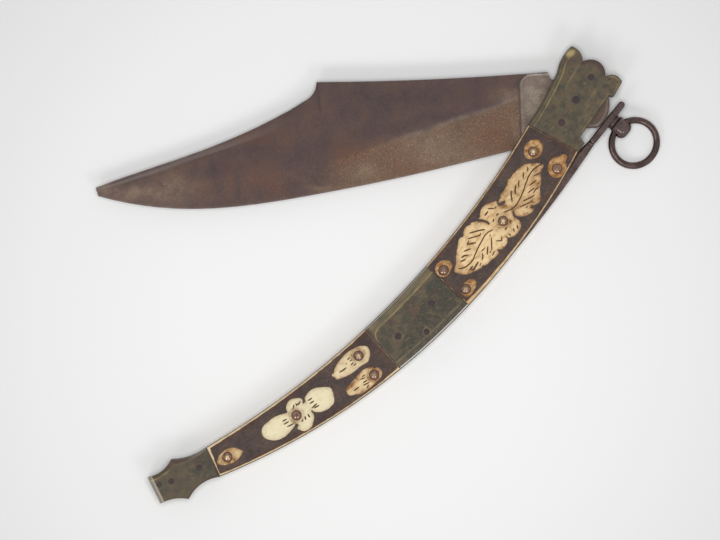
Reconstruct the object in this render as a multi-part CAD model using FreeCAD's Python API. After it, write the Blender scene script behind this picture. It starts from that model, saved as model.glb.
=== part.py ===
# Large folding knife with a ring-pulled back lock, lying on its side with the blade half open.
# Millimetres, Z up. The origin is on the pivot's axis, in the plane that the knife lies on.
# +X runs along the handle towards its head, +Y towards the side where the blade folds in.
import FreeCAD, Part
import math
import os

# Layers of the handle, counted outwards from the middle plane of the blade
blade_thickness = 3.6
blade_side_gap = 0.15
liner_thickness = 0.9
scale_thickness = 3.0
bolster_proud = 0.75

# Plan of the handle: two long edges, each an arc between two corners that bows by its rise
head_front = (-20.8, 5.75)
head_back = (-13.4, -15.9)
tail_front = (-202.6, -1.4)
tail_back = (-206.4, -13.8)
front_rise = 11.7
back_rise = 17.0
upper_joint = ((-88.9, -9.3), (-87.1, -29.8))
lower_joint = ((-124.2, -10.5), (-124.3, -30.8))
liner_edge = 0.4
lobe_edge = 0.5

# Outlines of the head and tail after their front corners: an arc is (through, to), a line (to,)
head_horn = (
    ((-8.6, 9.15), (2.5, 13.4)),
    ((8.0, 16.3), (13.2, 17.1)),
    ((14.1, 14.3), (12.3, 9.4)),
)
lobe_crest = (16.8, 4.4)
lobe_end = (14.8, -1.2)
head_ear = (
    ((17.9, -3.5), (18.3, -7.0)),
    ((11.9, -9.0),),
    ((10.9, -7.6),),
    ((-8.9, -11.9),),
    ((-9.2, -14.9),),
)
tail_points = (
    ((-210.2, 0.6), (-216.3, 4.6)),
    ((-222.3, 3.7), (-228.0, 5.7)),
    ((-231.4, -5.5),),
    ((-226.2, -7.6), (-221.7, -11.8)),
)
tail_hollow = (-214.0, -10.8)

# Bolsters: sloping facets beside their long edges
facet_width = 3.0
facet_drop = 0.9
head_front_facet = ((-17.9, 4.7), (7.5, 14.1))
head_back_facet = ((13.6, -2.7), (-7.6, -9.0))
tail_chamfer = 0.7

# Bone scales: chamfered edges, and a dark ground let into the face around the ornaments
scale_chamfer = 0.8
border = 0.9
joint_border = 0.5
ground_depth = 1.0
ornament_relief = 0.25

# Ornaments left standing in the bone, each with its first point and the moves that close it
upper_ornaments = (
    ((-27.1, -10.0), (
        ((-32.0, -14.0), (-36.4, -18.0), (-42.4, -20.2), (-47.0, -19.6), (-48.5, -15.9)),
        ((-51.5, -13.1),),
        ((-48.8, -8.7), (-43.6, -6.5), (-38.3, -5.2), (-32.9, -5.5), (-27.1, -10.0)),
    )),
    ((-82.2, -17.3), (
        ((-79.8, -15.4), (-72.8, -9.6), (-66.0, -7.4), (-61.0, -9.4), (-58.6, -13.9)),
        ((-56.0, -18.0),),
        ((-58.6, -22.6), (-64.6, -23.9), (-71.9, -23.4), (-78.2, -21.4), (-82.2, -17.3)),
    )),
    ((-51.0, -9.5), (
        ((-54.7, -6.4), (-59.4, -8.6)),
        ((-58.6, -14.5),),
        ((-51.5, -14.0),),
        ((-51.0, -9.5),),
    )),
    ((-49.6, -16.5), (
        ((-50.4, -22.0), (-57.4, -21.9)),
        ((-57.0, -14.5),),
        ((-51.5, -13.5),),
        ((-49.6, -16.5),),
    )),
    ((-21.2, -1.6), (((-27.2, 0.2), (-29.4, -4.0)), ((-26.4, -6.5), (-21.2, -1.6)))),
    ((-18.4, -13.2), (((-25.4, -11.4), (-28.2, -15.0)), ((-24.2, -18.4), (-18.4, -13.2)))),
    ((-81.0, -13.0), (((-85.2, -10.4), (-88.0, -13.6)), ((-84.6, -17.1), (-81.0, -13.0)))),
    ((-78.5, -25.0), (((-82.6, -22.6), (-85.7, -25.6)), ((-82.8, -27.6), (-78.5, -25.0)))),
)
lower_ornaments = (
    ((-162.4, -16.6), (((-155.2, -13.6), (-150.9, -19.0)), ((-156.6, -23.0), (-162.4, -16.6)))),
    ((-171.0, -15.4), (((-177.5, -10.4), (-183.4, -15.0)), ((-177.6, -19.9), (-171.0, -15.4)))),
    ((-163.0, -15.2), (((-164.8, -10.6), (-169.4, -11.6)), ((-168.4, -15.4), (-163.0, -15.2)))),
    ((-171.0, -18.6), (((-168.8, -23.3), (-163.8, -22.3)), ((-163.6, -18.6), (-171.0, -18.6)))),
    ((-146.6, -15.5), (
        ((-138.5, -12.4), (-131.5, -12.9), (-129.2, -16.6), (-132.5, -19.8), (-139.5, -18.7),
         (-146.6, -15.5)),
    )),
    ((-146.8, -24.3), (
        ((-140.3, -22.2), (-133.5, -22.2), (-130.4, -25.4), (-133.0, -28.6), (-140.8, -28.4),
         (-146.8, -24.3)),
    )),
    ((-192.7, -12.0), (((-198.6, -7.4), (-203.0, -8.5)), ((-199.8, -12.9), (-192.7, -12.0)))),
)
leaf_heart_radius = 4.4
flower_heart_radius = 3.9

# Pins and rivets
pivot_radius = 1.65
pivot_clearance = 0.05
bolster_pin_radius = 1.55
tail_pin_radius = 1.4
spring_pin_radius = 1.1
pin_recess = 0.1
rivet_shank_radius = 1.1
rivet_head_radius = 2.25
rivet_head_height = 0.72
head_pins = ((10.5, 2.6), (-10.4, -2.7))
mid_pins = ((-97.6, -20.4), (-116.2, -20.9))
tail_pins = ((-210.1, -5.5), (-221.9, -1.9), (-226.4, 0.4))
upper_rivets = ((-26.6, -3.5), (-24.2, -15.0), (-54.2, -15.6), (-85.0, -13.9), (-83.6, -25.4))
lower_rivets = ((-133.1, -15.9), (-133.7, -25.7), (-167.4, -16.5), (-199.0, -10.0))

# Blade in its own frame: x along the spine to the point, y towards the edge, pivot at 0
blade_turn_at_rest = 139.7
blade_length = 193.4
spine_height = 11.8
spine_dip = 0.9
shoulder_x = 10.8
clip_start = 103.3
clip_corner_length = 5.2
clip_corner_height = 7.4
tip_height = 3.4
tip_lean = 0.9
tip_depth = 26.5
belly_depth = 36.6
ricasso_end = 22.0
ricasso_depth = 18.0
ricasso_step = 2.0
tang_depth = 11.3
tang_radius = 13.2
heel_radius = 14.0
heel_mid_angle = 150.0
heel_end_angle = 185.0
notch_x = 9.5
notch_height = 8.75
edge_thickness = 0.5
clip_edge_thickness = 1.3
ricasso_grind_width = 21.0
tip_grind_width = 1.9
false_edge_width = 3.4
groove_width = 0.6
groove_depth = 0.25
# Stations on the belly: share of the way to the point, share of its depth, width of the grind
belly_stations = ((0.213, 0.398, 16.9), (0.515, 0.844, 14.7), (0.787, 1.0, 11.1), (0.908, 0.855, 6.4))
# Stations on the clip: share of the way to the point, bow below its chord, share of the bevel's width
clip_stations = ((0.147, 1.95, 0.8), (0.442, 2.85, 1.0), (0.786, 1.03, 0.8))

# Lock: a tooth on the tang that drops into the spring's window behind its end bar
lock_tooth_radius = 15.0
blade_open_turn = -120.0
tooth_land_angle = 7.0
tooth_ramp_angle = 18.0
lock_gap = 0.2

# Back spring. Along runs beside the pivot towards the tip, out is the distance from the pivot
spring_lean = 9.0
spring_inner = 14.15
spring_thickness = 2.65
spring_head_width = 8.0
spring_side_gap = 0.1
spring_head_start = -9.5
spring_tip = 11.2
window_start = -5.0
window_end = 5.6
window_side_gap = 0.35
spring_pin_place = (-106.6, -27.4)
spring_root_length = 6.0
spring_root_height = 6.2
spring_mid_outer = (-47.7, -26.2)
spring_mid_depth = 3.0
spring_rear_outer = (-92.0, -31.0)
spring_rear_depth = 4.4

# Ring and the eyelet that it hangs in
eyelet_along = 2.6
eyelet_radius = 3.8
eyelet_collar_radius = 3.1
eyelet_collar_height = 1.2
eyelet_hole_out = 3.75
eyelet_wall = 1.9
eyelet_round = 2.6
eyelet_hole_radius = 2.3
ring_radius = 9.3
ring_wire_radius = 1.4
ring_seat = 0.35
ring_table_gap = 0.02

# Spacer that keeps the liners apart along the back, behind the spring
spacer_width = 4.2
spacer_start = -115.5

half_slot = blade_thickness / 2 + blade_side_gap
liner_outer = half_slot + liner_thickness
scale_top = liner_outer + scale_thickness
bolster_top = scale_top + bolster_proud
middle = bolster_top
head_joint = (head_front, head_back)
tail_joint = (tail_front, tail_back)
reach = 2 * math.dist(head_front, head_back)


def point(place, z=0.0):
    return FreeCAD.Vector(place[0], place[1], z)


def polar(radius, degrees):
    turn = math.radians(degrees)
    return (radius * math.cos(turn), radius * math.sin(turn))


# A closed outline: each move is a line to one point, an arc through two, or a curve through more
def outline(start, moves):
    edges = []
    here = point(start)
    for move in moves:
        stops = [point(stop) for stop in move]
        if len(stops) == 1:
            edges.append(Part.LineSegment(here, stops[0]).toShape())
        elif len(stops) == 2:
            edges.append(Part.Arc(here, stops[0], stops[1]).toShape())
        else:
            curve = Part.BSplineCurve()
            curve.interpolate([here] + stops)
            edges.append(curve.toShape())
        here = stops[-1]
    return Part.Face(Part.Wire(edges))


def disc(place, radius):
    circle = Part.Circle(point(place), FreeCAD.Vector(0, 0, 1), radius)
    return Part.Face(Part.Wire([circle.toShape()]))


# Upright prism on an outline; z counts from the middle plane
def prism(face, low, high):
    solid = face.extrude(FreeCAD.Vector(0, 0, high - low))
    solid.translate(FreeCAD.Vector(0, 0, middle + low))
    return solid


def pin(place, radius, low, high):
    return Part.makeCylinder(radius, high - low, point(place, middle + low))


def pins(places, radius, low, high):
    return [pin(place, radius, low, high) for place in places]


def join(solids):
    return solids[0].fuse(solids[1:]).removeSplitter()


# The side below is the mirror image of the side above
def mirrored(shape):
    return shape.mirror(FreeCAD.Vector(0, 0, middle), FreeCAD.Vector(0, 0, 1))


def save(node, shape):
    shape.exportStep("parts/" + node + ".step")


def save_pair(node, shape):
    save(node + "_front", shape)
    save(node + "_rear", mirrored(shape))


# Centre and radius of the arc that bows away from +Y between two corners
def edge_circle(head_end, tail_end, rise):
    run = point(tail_end) - point(head_end)
    radius = run.Length ** 2 / (8 * rise) + rise / 2
    side = FreeCAD.Vector(run.y, -run.x, 0).normalize()
    centre = (point(head_end) + point(tail_end)) * 0.5 + side * (radius - rise)
    return (centre.x, centre.y), radius


front_centre, front_radius = edge_circle(head_front, tail_front, front_rise)
back_centre, back_radius = edge_circle(head_back, tail_back, back_rise)


# The two ends of a joint line, drawn out past both edges and moved along the handle
def joint_ends(joint, shift):
    across = (point(joint[0]) - point(joint[1])).normalize()
    along = FreeCAD.Vector(across.y, -across.x, 0) * shift
    return point(joint[0]) + across * reach + along, point(joint[1]) - across * reach + along


# Part of the handle between two joints and its two edge arcs, drawn in by an inset
def band(low, high, start, end, inset=0.0, end_inset=0.0, width=None):
    a, b = joint_ends(start, -end_inset)
    d, c = joint_ends(end, end_inset)
    strip = prism(Part.Face(Part.makePolygon([a, b, c, d, a])), low, high)
    solid = strip.common(pin(back_centre, back_radius - inset, low, high))
    if width is None:
        return solid.cut(pin(front_centre, front_radius + inset, low, high))
    return solid.cut(pin(back_centre, back_radius - width, low, high))


# Ring of triangular section that slopes off the top of a band beside one of its edges
def facet_ring(centre, radius, side, top, width, drop):
    base = point(centre, middle + top)
    inner = base + FreeCAD.Vector(radius - side * width, 0, 0)
    outer = base + FreeCAD.Vector(radius + side * width, 0, 0)
    low = outer - FreeCAD.Vector(0, 0, 2 * drop)
    section = Part.Face(Part.makePolygon([inner, outer, low, inner]))
    return section.revolve(base, FreeCAD.Vector(0, 0, 1), 360)


def faceted(solid, top, inset, width, drop):
    back = facet_ring(back_centre, back_radius - inset, 1, top, width, drop)
    front = facet_ring(front_centre, front_radius + inset, -1, top, width, drop)
    return solid.cut(back).cut(front)


# Wedge that slopes the top off beside a straight line, on the line's left
def facet_wedge(line, top, width, drop):
    start = point(line[0], middle + top)
    end = point(line[1], middle + top)
    along = (end - start).normalize()
    left = FreeCAD.Vector(-along.y, along.x, 0)
    begin = start - along * reach
    outer = begin + left * reach
    low = outer - FreeCAD.Vector(0, 0, drop * reach / width)
    section = Part.Face(Part.makePolygon([begin, outer, low, begin]))
    return section.extrude(along * ((end - start).Length + 2 * reach))


# Head: a horn, a round lobe and an ear, and a step behind for the spring
def head_plan(lobe_growth):
    crest = (lobe_crest[0] + lobe_growth, lobe_crest[1])
    lobe = ((crest, lobe_end),)
    return outline(head_front, head_horn + lobe + head_ear + ((head_back,), (head_front,)))


# Tail: hollow sides that meet in points, and a flat end
def tail_plan():
    return outline(tail_front, tail_points + ((tail_hollow, tail_back), (tail_front,)))


def make_liner():
    body = join([
        band(half_slot, liner_outer, head_joint, tail_joint),
        prism(head_plan(lobe_edge), half_slot, liner_outer),
        prism(tail_plan(), half_slot, liner_outer),
    ])
    holes = [pin((0, 0), pivot_radius, half_slot, liner_outer)]
    holes += [pin(spring_pin_place, spring_pin_radius, half_slot, liner_outer)]
    holes += pins(head_pins + mid_pins, bolster_pin_radius, half_slot, liner_outer)
    holes += pins(tail_pins, tail_pin_radius, half_slot, liner_outer)
    holes += pins(upper_rivets + lower_rivets, rivet_shank_radius, half_slot, liner_outer)
    return body.cut(holes)


def make_head_bolster():
    body = prism(head_plan(0.0), liner_outer, bolster_top)
    body = body.cut(facet_wedge(head_front_facet, bolster_top, facet_width, facet_drop))
    body = body.cut(facet_wedge(head_back_facet, bolster_top, facet_width, facet_drop))
    body = body.cut(pin((0, 0), pivot_radius, liner_outer, bolster_top))
    return body.cut(pins(head_pins, bolster_pin_radius, liner_outer, bolster_top))


def make_mid_bolster():
    body = band(liner_outer, bolster_top, upper_joint, lower_joint)
    body = faceted(body, bolster_top, 0.0, facet_width, facet_drop)
    body = body.cut(pin(spring_pin_place, spring_pin_radius, liner_outer, bolster_top))
    return body.cut(pins(mid_pins, bolster_pin_radius, liner_outer, bolster_top))


def make_tail_bolster():
    body = prism(tail_plan(), liner_outer, bolster_top)
    rim = [edge for edge in body.Edges if edge.BoundBox.ZMin > middle + bolster_top - 0.01]
    joint_x = (tail_front[0] + tail_back[0]) / 2
    rim = [edge for edge in rim if abs(edge.CenterOfMass.x - joint_x) > tail_chamfer]
    body = body.makeChamfer(tail_chamfer, rim)
    return body.cut(pins(tail_pins, tail_pin_radius, liner_outer, bolster_top))


# A bone scale with its ornaments standing, and the dark ground that fills the rest of its face
def make_scale(start, end, ornaments, heart, rivets):
    slab = band(liner_outer, scale_top, start, end, liner_edge)
    slab = faceted(slab, scale_top, liner_edge, scale_chamfer, scale_chamfer)
    floor = scale_top - ground_depth
    field = band(floor, scale_top, start, end, liner_edge + border, joint_border)
    standing = [prism(outline(*ornament), floor, scale_top) for ornament in ornaments]
    standing.append(prism(heart, floor, scale_top))
    pocket = field.cut(standing)
    holes = pins(rivets, rivet_shank_radius, liner_outer, scale_top)
    scale = slab.cut(pocket).cut(holes)
    skim = band(scale_top - ornament_relief, scale_top, start, end)
    ground = pocket.cut(skim).cut(holes)
    return scale, ground


def make_rivets(places):
    sphere = (rivet_head_radius ** 2 + rivet_head_height ** 2) / (2 * rivet_head_height)
    rim = math.degrees(math.asin((sphere - rivet_head_height) / sphere))
    rivets = []
    for place in places:
        shank = pin(place, rivet_shank_radius, half_slot, scale_top)
        centre = point(place, middle + scale_top + rivet_head_height - sphere)
        head = Part.makeSphere(sphere, centre, FreeCAD.Vector(0, 0, 1), rim, 90, 360)
        rivets.append(shank.fuse(head).removeSplitter())
    return Part.makeCompound(rivets)


def spring_place(along, out):
    lean = math.radians(spring_lean)
    x = along * math.cos(lean) + out * math.sin(lean)
    y = along * math.sin(lean) - out * math.cos(lean)
    return (x, y)


def belly_point(share, depth_share):
    x = ricasso_end + share * (blade_length - ricasso_end)
    return (x, ricasso_depth + depth_share * (belly_depth - ricasso_depth))


def clip_point(share, bow):
    start = (clip_start + clip_corner_length, clip_corner_height - spine_height)
    x = start[0] + share * (blade_length - start[0])
    return (x, start[1] + share * (tip_depth - start[1]) + bow)


# Outline of the blade and its tang; the tooth stands where the lock needs it when open
def blade_plan():
    bar_angle = math.degrees(math.asin((window_end - lock_gap) / lock_tooth_radius))
    lock_angle = spring_lean - 90 + bar_angle - blade_turn_at_rest - blade_open_turn
    ramp_angle = lock_angle - tooth_ramp_angle + 360
    heel = (-math.sqrt(heel_radius ** 2 - tang_depth ** 2), tang_depth)
    corner = (clip_start + clip_corner_length * 0.23, clip_corner_height * 0.55 - spine_height)
    belly = [belly_point(share, depth) for share, depth, grind in reversed(belly_stations)]
    clip = [clip_point(share, bow) for share, bow, width in clip_stations]
    return outline((shoulder_x, -spine_height), [
        ((clip_start / 2, spine_dip - spine_height), (clip_start, -spine_height)),
        (corner, clip_point(0.0, 0.0)),
        clip + [(blade_length, tip_depth)],
        ((blade_length - tip_lean, tip_depth + tip_height),),
        belly + [(ricasso_end, ricasso_depth)],
        ((ricasso_end - ricasso_step, tang_depth),),
        (heel,),
        (polar(heel_radius, heel_mid_angle), polar(tang_radius, heel_end_angle)),
        (polar(tang_radius, (heel_end_angle + ramp_angle) / 2), polar(tang_radius, ramp_angle)),
        (polar(lock_tooth_radius, lock_angle - tooth_land_angle),),
        (polar(lock_tooth_radius, lock_angle),),
        (polar(-notch_height / math.sin(math.radians(lock_angle)), lock_angle),),
        ((notch_x, -notch_height),),
        ((shoulder_x, -spine_height),),
    ])


# Cutter for one ground flank: triangles that run from a ridge down to the thin rim
def flank_cutter(stations, rim_thickness):
    half = blade_thickness / 2
    sections = []
    for (x, rim), width in stations:
        slope = (half - rim_thickness / 2) / abs(width)
        ridge = (rim - width, half)
        past = (rim + math.copysign(half, width), rim_thickness / 2 - slope * half)
        above = (past[0], blade_thickness)
        corners = [ridge, past, above, ridge]
        sections.append(Part.makePolygon([FreeCAD.Vector(x, y, z) for y, z in corners]))
    return Part.makeLoft(sections, True, True)


def make_blade():
    half = blade_thickness / 2
    body = blade_plan().extrude(FreeCAD.Vector(0, 0, blade_thickness))
    body.translate(FreeCAD.Vector(0, 0, -half))
    past_tip = blade_length + tip_lean
    edge = [((ricasso_end, ricasso_depth), ricasso_grind_width)]
    edge += [(belly_point(share, depth), grind) for share, depth, grind in belly_stations]
    edge += [((past_tip, tip_depth + tip_height), tip_grind_width)]
    clip = [(clip_point(0.0, 0.0), -false_edge_width * 0.1)]
    clip += [(clip_point(share, bow), -false_edge_width * width) for share, bow, width in clip_stations]
    clip += [((past_tip, tip_depth), -false_edge_width * 0.3)]
    groove = Part.makeBox(groove_width, 2 * reach, half)
    groove.translate(FreeCAD.Vector(ricasso_end - groove_width, -reach, half - groove_depth))
    above = [flank_cutter(edge, edge_thickness), flank_cutter(clip, clip_edge_thickness), groove]
    below = [cutter.mirror(FreeCAD.Vector(), FreeCAD.Vector(0, 0, 1)) for cutter in above]
    hole = Part.makeCylinder(pivot_radius + pivot_clearance, blade_thickness, FreeCAD.Vector(0, 0, -half))
    body = body.cut(above + below).cut(hole)
    body.rotate(FreeCAD.Vector(), FreeCAD.Vector(0, 0, 1), blade_turn_at_rest)
    body.translate(FreeCAD.Vector(0, 0, middle))
    return body


# Back spring: a leaf between the liners, and a wider head with the window behind its end bar
def make_spring():
    outer = spring_inner + spring_thickness
    root = spring_pin_place
    low = root[1] - spring_root_height / 2
    high = root[1] + spring_root_height / 2
    mid_inner = (spring_mid_outer[0], spring_mid_outer[1] + spring_mid_depth)
    rear_inner = (spring_rear_outer[0], spring_rear_outer[1] + spring_rear_depth)
    leaf = outline(spring_place(spring_head_start, outer), [
        (spring_mid_outer, spring_rear_outer),
        ((root[0], low),),
        ((root[0] - spring_root_length, root[1]), (root[0], high)),
        (rear_inner,),
        (mid_inner, spring_place(spring_head_start, spring_inner)),
        (spring_place(window_start, spring_inner),),
        (spring_place(window_start, outer),),
        (spring_place(spring_head_start, outer),),
    ])
    half_leaf = half_slot - spring_side_gap
    half_window = blade_thickness / 2 + window_side_gap
    round_start = spring_tip - spring_thickness / 2
    tip = spring_place(spring_tip, (spring_inner + outer) / 2)
    head = outline(spring_place(spring_head_start, spring_inner), [
        (spring_place(round_start, spring_inner),),
        (tip, spring_place(round_start, outer)),
        (spring_place(spring_head_start, outer),),
        (spring_place(spring_head_start, spring_inner),),
    ])
    below = spring_inner - spring_thickness
    above = outer + spring_thickness
    window = outline(spring_place(window_start, below), [
        (spring_place(window_end, below),),
        (spring_place(window_end, above),),
        (spring_place(window_start, above),),
        (spring_place(window_start, below),),
    ])
    body = join([
        prism(leaf, -half_leaf, half_leaf),
        prism(head, -spring_head_width / 2, spring_head_width / 2),
    ])
    body = body.cut(prism(window, -half_window, half_window))
    return body.cut(pin(root, spring_pin_radius + pivot_clearance, -half_leaf, half_leaf))


eyelet_foot = spring_place(eyelet_along, spring_inner + spring_thickness)
eyelet_centre = spring_place(eyelet_along, spring_inner + spring_thickness + eyelet_hole_out)


# Eyelet: a turned barrel with a collar, standing on the spring across its window
def make_eyelet():
    foot = point(eyelet_foot, middle)
    out = point(spring_place(0.0, 1.0))
    crown = eyelet_hole_out + eyelet_hole_radius + eyelet_wall
    flare = eyelet_radius - eyelet_collar_radius
    neck = foot + out * eyelet_collar_height
    collar = Part.makeCylinder(eyelet_collar_radius, eyelet_collar_height, foot, out)
    cone = Part.makeCone(eyelet_collar_radius, eyelet_radius, flare, neck, out)
    barrel = Part.makeCylinder(eyelet_radius, crown - eyelet_collar_height - flare, neck + out * flare, out)
    rim = max(barrel.Edges, key=lambda edge: edge.CenterOfMass.distanceToPoint(foot))
    barrel = barrel.makeFillet(eyelet_round, [rim])
    start = point(eyelet_centre, middle) - FreeCAD.Vector(2 * eyelet_radius, 0, 0)
    hole = Part.makeCylinder(eyelet_hole_radius, 4 * eyelet_radius, start, FreeCAD.Vector(1, 0, 0))
    return join([collar, cone, barrel]).cut(hole)


# The ring hangs from the eyelet until its far side meets the table
ring_reach = ring_radius - ring_seat
ring_droop = math.asin((middle - ring_wire_radius - ring_table_gap) / (ring_reach + ring_radius))


def make_ring():
    away = FreeCAD.Vector(0, -math.cos(ring_droop), -math.sin(ring_droop))
    centre = point(eyelet_centre, middle) + away * ring_reach
    axis = FreeCAD.Vector(1, 0, 0).cross(away)
    return Part.makeTorus(ring_radius, ring_wire_radius, centre, axis)


def make_spacer():
    start = ((spacer_start, 0.0), (spacer_start, -reach))
    body = join([
        band(-half_slot, half_slot, start, tail_joint, 0.0, 0.0, spacer_width),
        prism(tail_plan(), -half_slot, half_slot),
    ])
    return body.cut(pins(tail_pins, tail_pin_radius, -half_slot, half_slot))


def main():
    os.makedirs("parts", exist_ok=True)
    pin_end = bolster_top - pin_recess
    save("blade", make_blade())
    save("pivot_pin", pin((0, 0), pivot_radius, -pin_end, pin_end))
    save("back_spring", make_spring())
    save("spring_pin", pin(spring_pin_place, spring_pin_radius, -pin_end, pin_end))
    save("ring_eyelet", make_eyelet())
    save("pull_ring", make_ring())
    save("back_spacer", make_spacer())
    save("tail_pins", Part.makeCompound(pins(tail_pins, tail_pin_radius, -pin_end, pin_end)))
    save_pair("liner", make_liner())
    save_pair("head_bolster", make_head_bolster())
    save_pair("mid_bolster", make_mid_bolster())
    save_pair("tail_bolster", make_tail_bolster())
    save_pair("head_pins", Part.makeCompound(pins(head_pins, bolster_pin_radius, half_slot, pin_end)))
    save_pair("mid_pins", Part.makeCompound(pins(mid_pins, bolster_pin_radius, half_slot, pin_end)))
    leaf_heart = disc(upper_rivets[2], leaf_heart_radius)
    upper_scale, upper_ground = make_scale(head_joint, upper_joint, upper_ornaments, leaf_heart, upper_rivets)
    save_pair("upper_scale", upper_scale)
    save_pair("upper_ground", upper_ground)
    save_pair("upper_rivets", make_rivets(upper_rivets))
    flower = disc(lower_rivets[2], flower_heart_radius)
    lower_scale, lower_ground = make_scale(lower_joint, tail_joint, lower_ornaments, flower, lower_rivets)
    save_pair("lower_scale", lower_scale)
    save_pair("lower_ground", lower_ground)
    save_pair("lower_rivets", make_rivets(lower_rivets))


main()
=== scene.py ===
import math
import bmesh
import bpy
import numpy as np
from mathutils import Matrix, Vector, noise
from mathutils.bvhtree import BVHTree


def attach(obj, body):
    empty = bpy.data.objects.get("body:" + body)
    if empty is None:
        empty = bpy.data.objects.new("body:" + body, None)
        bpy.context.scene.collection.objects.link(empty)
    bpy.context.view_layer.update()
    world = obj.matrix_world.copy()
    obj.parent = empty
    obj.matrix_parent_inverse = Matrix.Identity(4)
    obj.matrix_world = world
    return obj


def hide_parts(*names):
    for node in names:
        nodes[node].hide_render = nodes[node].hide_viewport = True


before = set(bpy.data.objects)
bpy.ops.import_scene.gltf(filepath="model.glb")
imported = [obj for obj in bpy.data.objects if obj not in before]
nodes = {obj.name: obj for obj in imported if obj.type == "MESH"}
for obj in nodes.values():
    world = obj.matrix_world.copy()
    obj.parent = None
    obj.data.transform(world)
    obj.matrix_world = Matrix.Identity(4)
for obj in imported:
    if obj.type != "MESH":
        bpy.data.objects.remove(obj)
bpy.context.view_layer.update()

mm = 0.001
perMm = 1000.0  # texture scale for a pattern one millimetre across
weld = 1e-4  # points closer than this, in mm, become one
cadWeld = 1e-6  # the same on a copy of a CAD mesh, in metres


# material helpers

def linear(hexColour):
    levels = [int(hexColour[i:i + 2], 16) / 255 for i in (1, 3, 5)]
    return [c / 12.92 if c <= 0.04045 else ((c + 0.055) / 1.055) ** 2.4 for c in levels] + [1.0]


def setInputs(tree, node, inputs):
    for key, value in inputs.items():
        if isinstance(value, bpy.types.NodeSocket):
            tree.links.new(value, node.inputs[key])
        else:
            node.inputs[key].default_value = value


def addNode(tree, kind, inputs=None, out=0, ramp=None, **settings):
    # adds a node with its settings and links, and gives back the output asked for
    node = tree.nodes.new("ShaderNode" + kind)
    for name, value in settings.items():
        setattr(node, name, value)
    if ramp:
        stops = node.color_ramp.elements
        while len(stops) < len(ramp):
            stops.new(0.5)
        for stop, (place, colour) in zip(stops, ramp):
            stop.position = place
            stop.color = linear(colour) if isinstance(colour, str) else (colour, colour, colour, 1.0)
    setInputs(tree, node, inputs or {})
    return node.outputs[out]


def startMaterial(name):
    material = bpy.data.materials.new(name)
    material.use_nodes = True
    tree = material.node_tree
    shader = tree.nodes["Principled BSDF"]
    place = addNode(tree, "TexCoord", out="Object")
    return material, tree, shader, place


# shape helpers; lengths are in mm until a piece is finished

def smooth(low, high, value):
    share = np.clip((value - low) / (high - low), 0, 1)
    return share * share * (3 - 2 * share)


def bell(gap, width):
    return np.exp(-(gap / width) ** 2)


def fading(gap, width):
    return np.exp(-gap / width)


def slant(gap, width):
    return np.clip(1 - gap / width, 0, 1)


def softRise(value, soft):
    # 0 below 0, and value above it, with a rounded bend between
    return np.log1p(np.exp(value / soft)) * soft


def cornerGap(x, y, radius):
    # how far a place lies outside a rounded corner, less than 0 inside it
    return np.hypot(np.maximum(x, 0), np.maximum(y, 0)) + np.minimum(np.maximum(x, y), 0) - radius


def stationed(x, stations):
    return np.interp(x, *zip(*stations))


def wander(places, size, seed=0.0):
    return np.array([noise.noise(Vector((x / size, y / size, seed))) for x, y in places])


def toSegments(places, ends):
    # distance from each place to the nearest of some straight runs
    best = np.full(len(places), 1e9)
    for a, b in ends:
        a = np.array(a, float)
        run = np.array(b, float) - a
        share = np.clip(((places - a) @ run) / max(run @ run, 1e-12), 0, 1)
        best = np.minimum(best, np.hypot(*(places - a - share[:, None] * run).T))
    return best


def toRing(places, points):
    return toSegments(places, zip(points, points[1:] + points[:1]))


def toPath(places, points):
    return toSegments(places, zip(points[:-1], points[1:]))


def roundLoop(points, parts=5):
    # closed smooth curve through the traced points, read from a bezier circle with automatic handles
    curve = bpy.data.curves.new("outline", "CURVE")
    curve.resolution_u = parts
    spline = curve.splines.new("BEZIER")
    spline.bezier_points.add(len(points) - 1)
    spline.use_cyclic_u = True
    for knot, (x, y) in zip(spline.bezier_points, points):
        knot.co = (x, y, 0)
        knot.handle_left_type = knot.handle_right_type = "AUTO"
    holder = bpy.data.objects.new("outline", curve)
    mesh = bpy.data.meshes.new_from_object(holder)
    loop = [(v.co.x, v.co.y) for v in mesh.vertices]
    bpy.data.objects.remove(holder)
    bpy.data.curves.remove(curve)
    bpy.data.meshes.remove(mesh)
    return loop


def arcRun(start, through, end, step=0.5):
    # points along the arc from start (left out) to end
    a, b, c = complex(*start), complex(*through), complex(*end)
    w = (c - a) / (b - a)
    centre = (b - a) * (w - abs(w) ** 2) / (2j * w.imag) + a
    radius = abs(a - centre)
    sweep = sum(2 * math.asin(min(1.0, chord / (2 * radius))) for chord in (abs(b - a), abs(c - b)))
    turn = sweep if w.imag > 0 else -sweep
    steps = max(2, int(sweep * radius / step))
    stops = [centre + (a - centre) * complex(math.cos(turn * i / steps), math.sin(turn * i / steps))
             for i in range(1, steps)] + [c]
    return [(p.real, p.imag) for p in stops]


def tracedPath(start, moves):
    points = [start]
    for move in moves:
        points += arcRun(points[-1], *move) if len(move) == 2 else [move[0]]
    return points


def startMesh():
    # every carved sheet carries the same named maps for its material
    bm = bmesh.new()
    for name in ("cut", "stain", "pale", "wear", "brown", "flank", "grey"):
        bm.verts.layers.float.new(name)
    return bm


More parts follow.
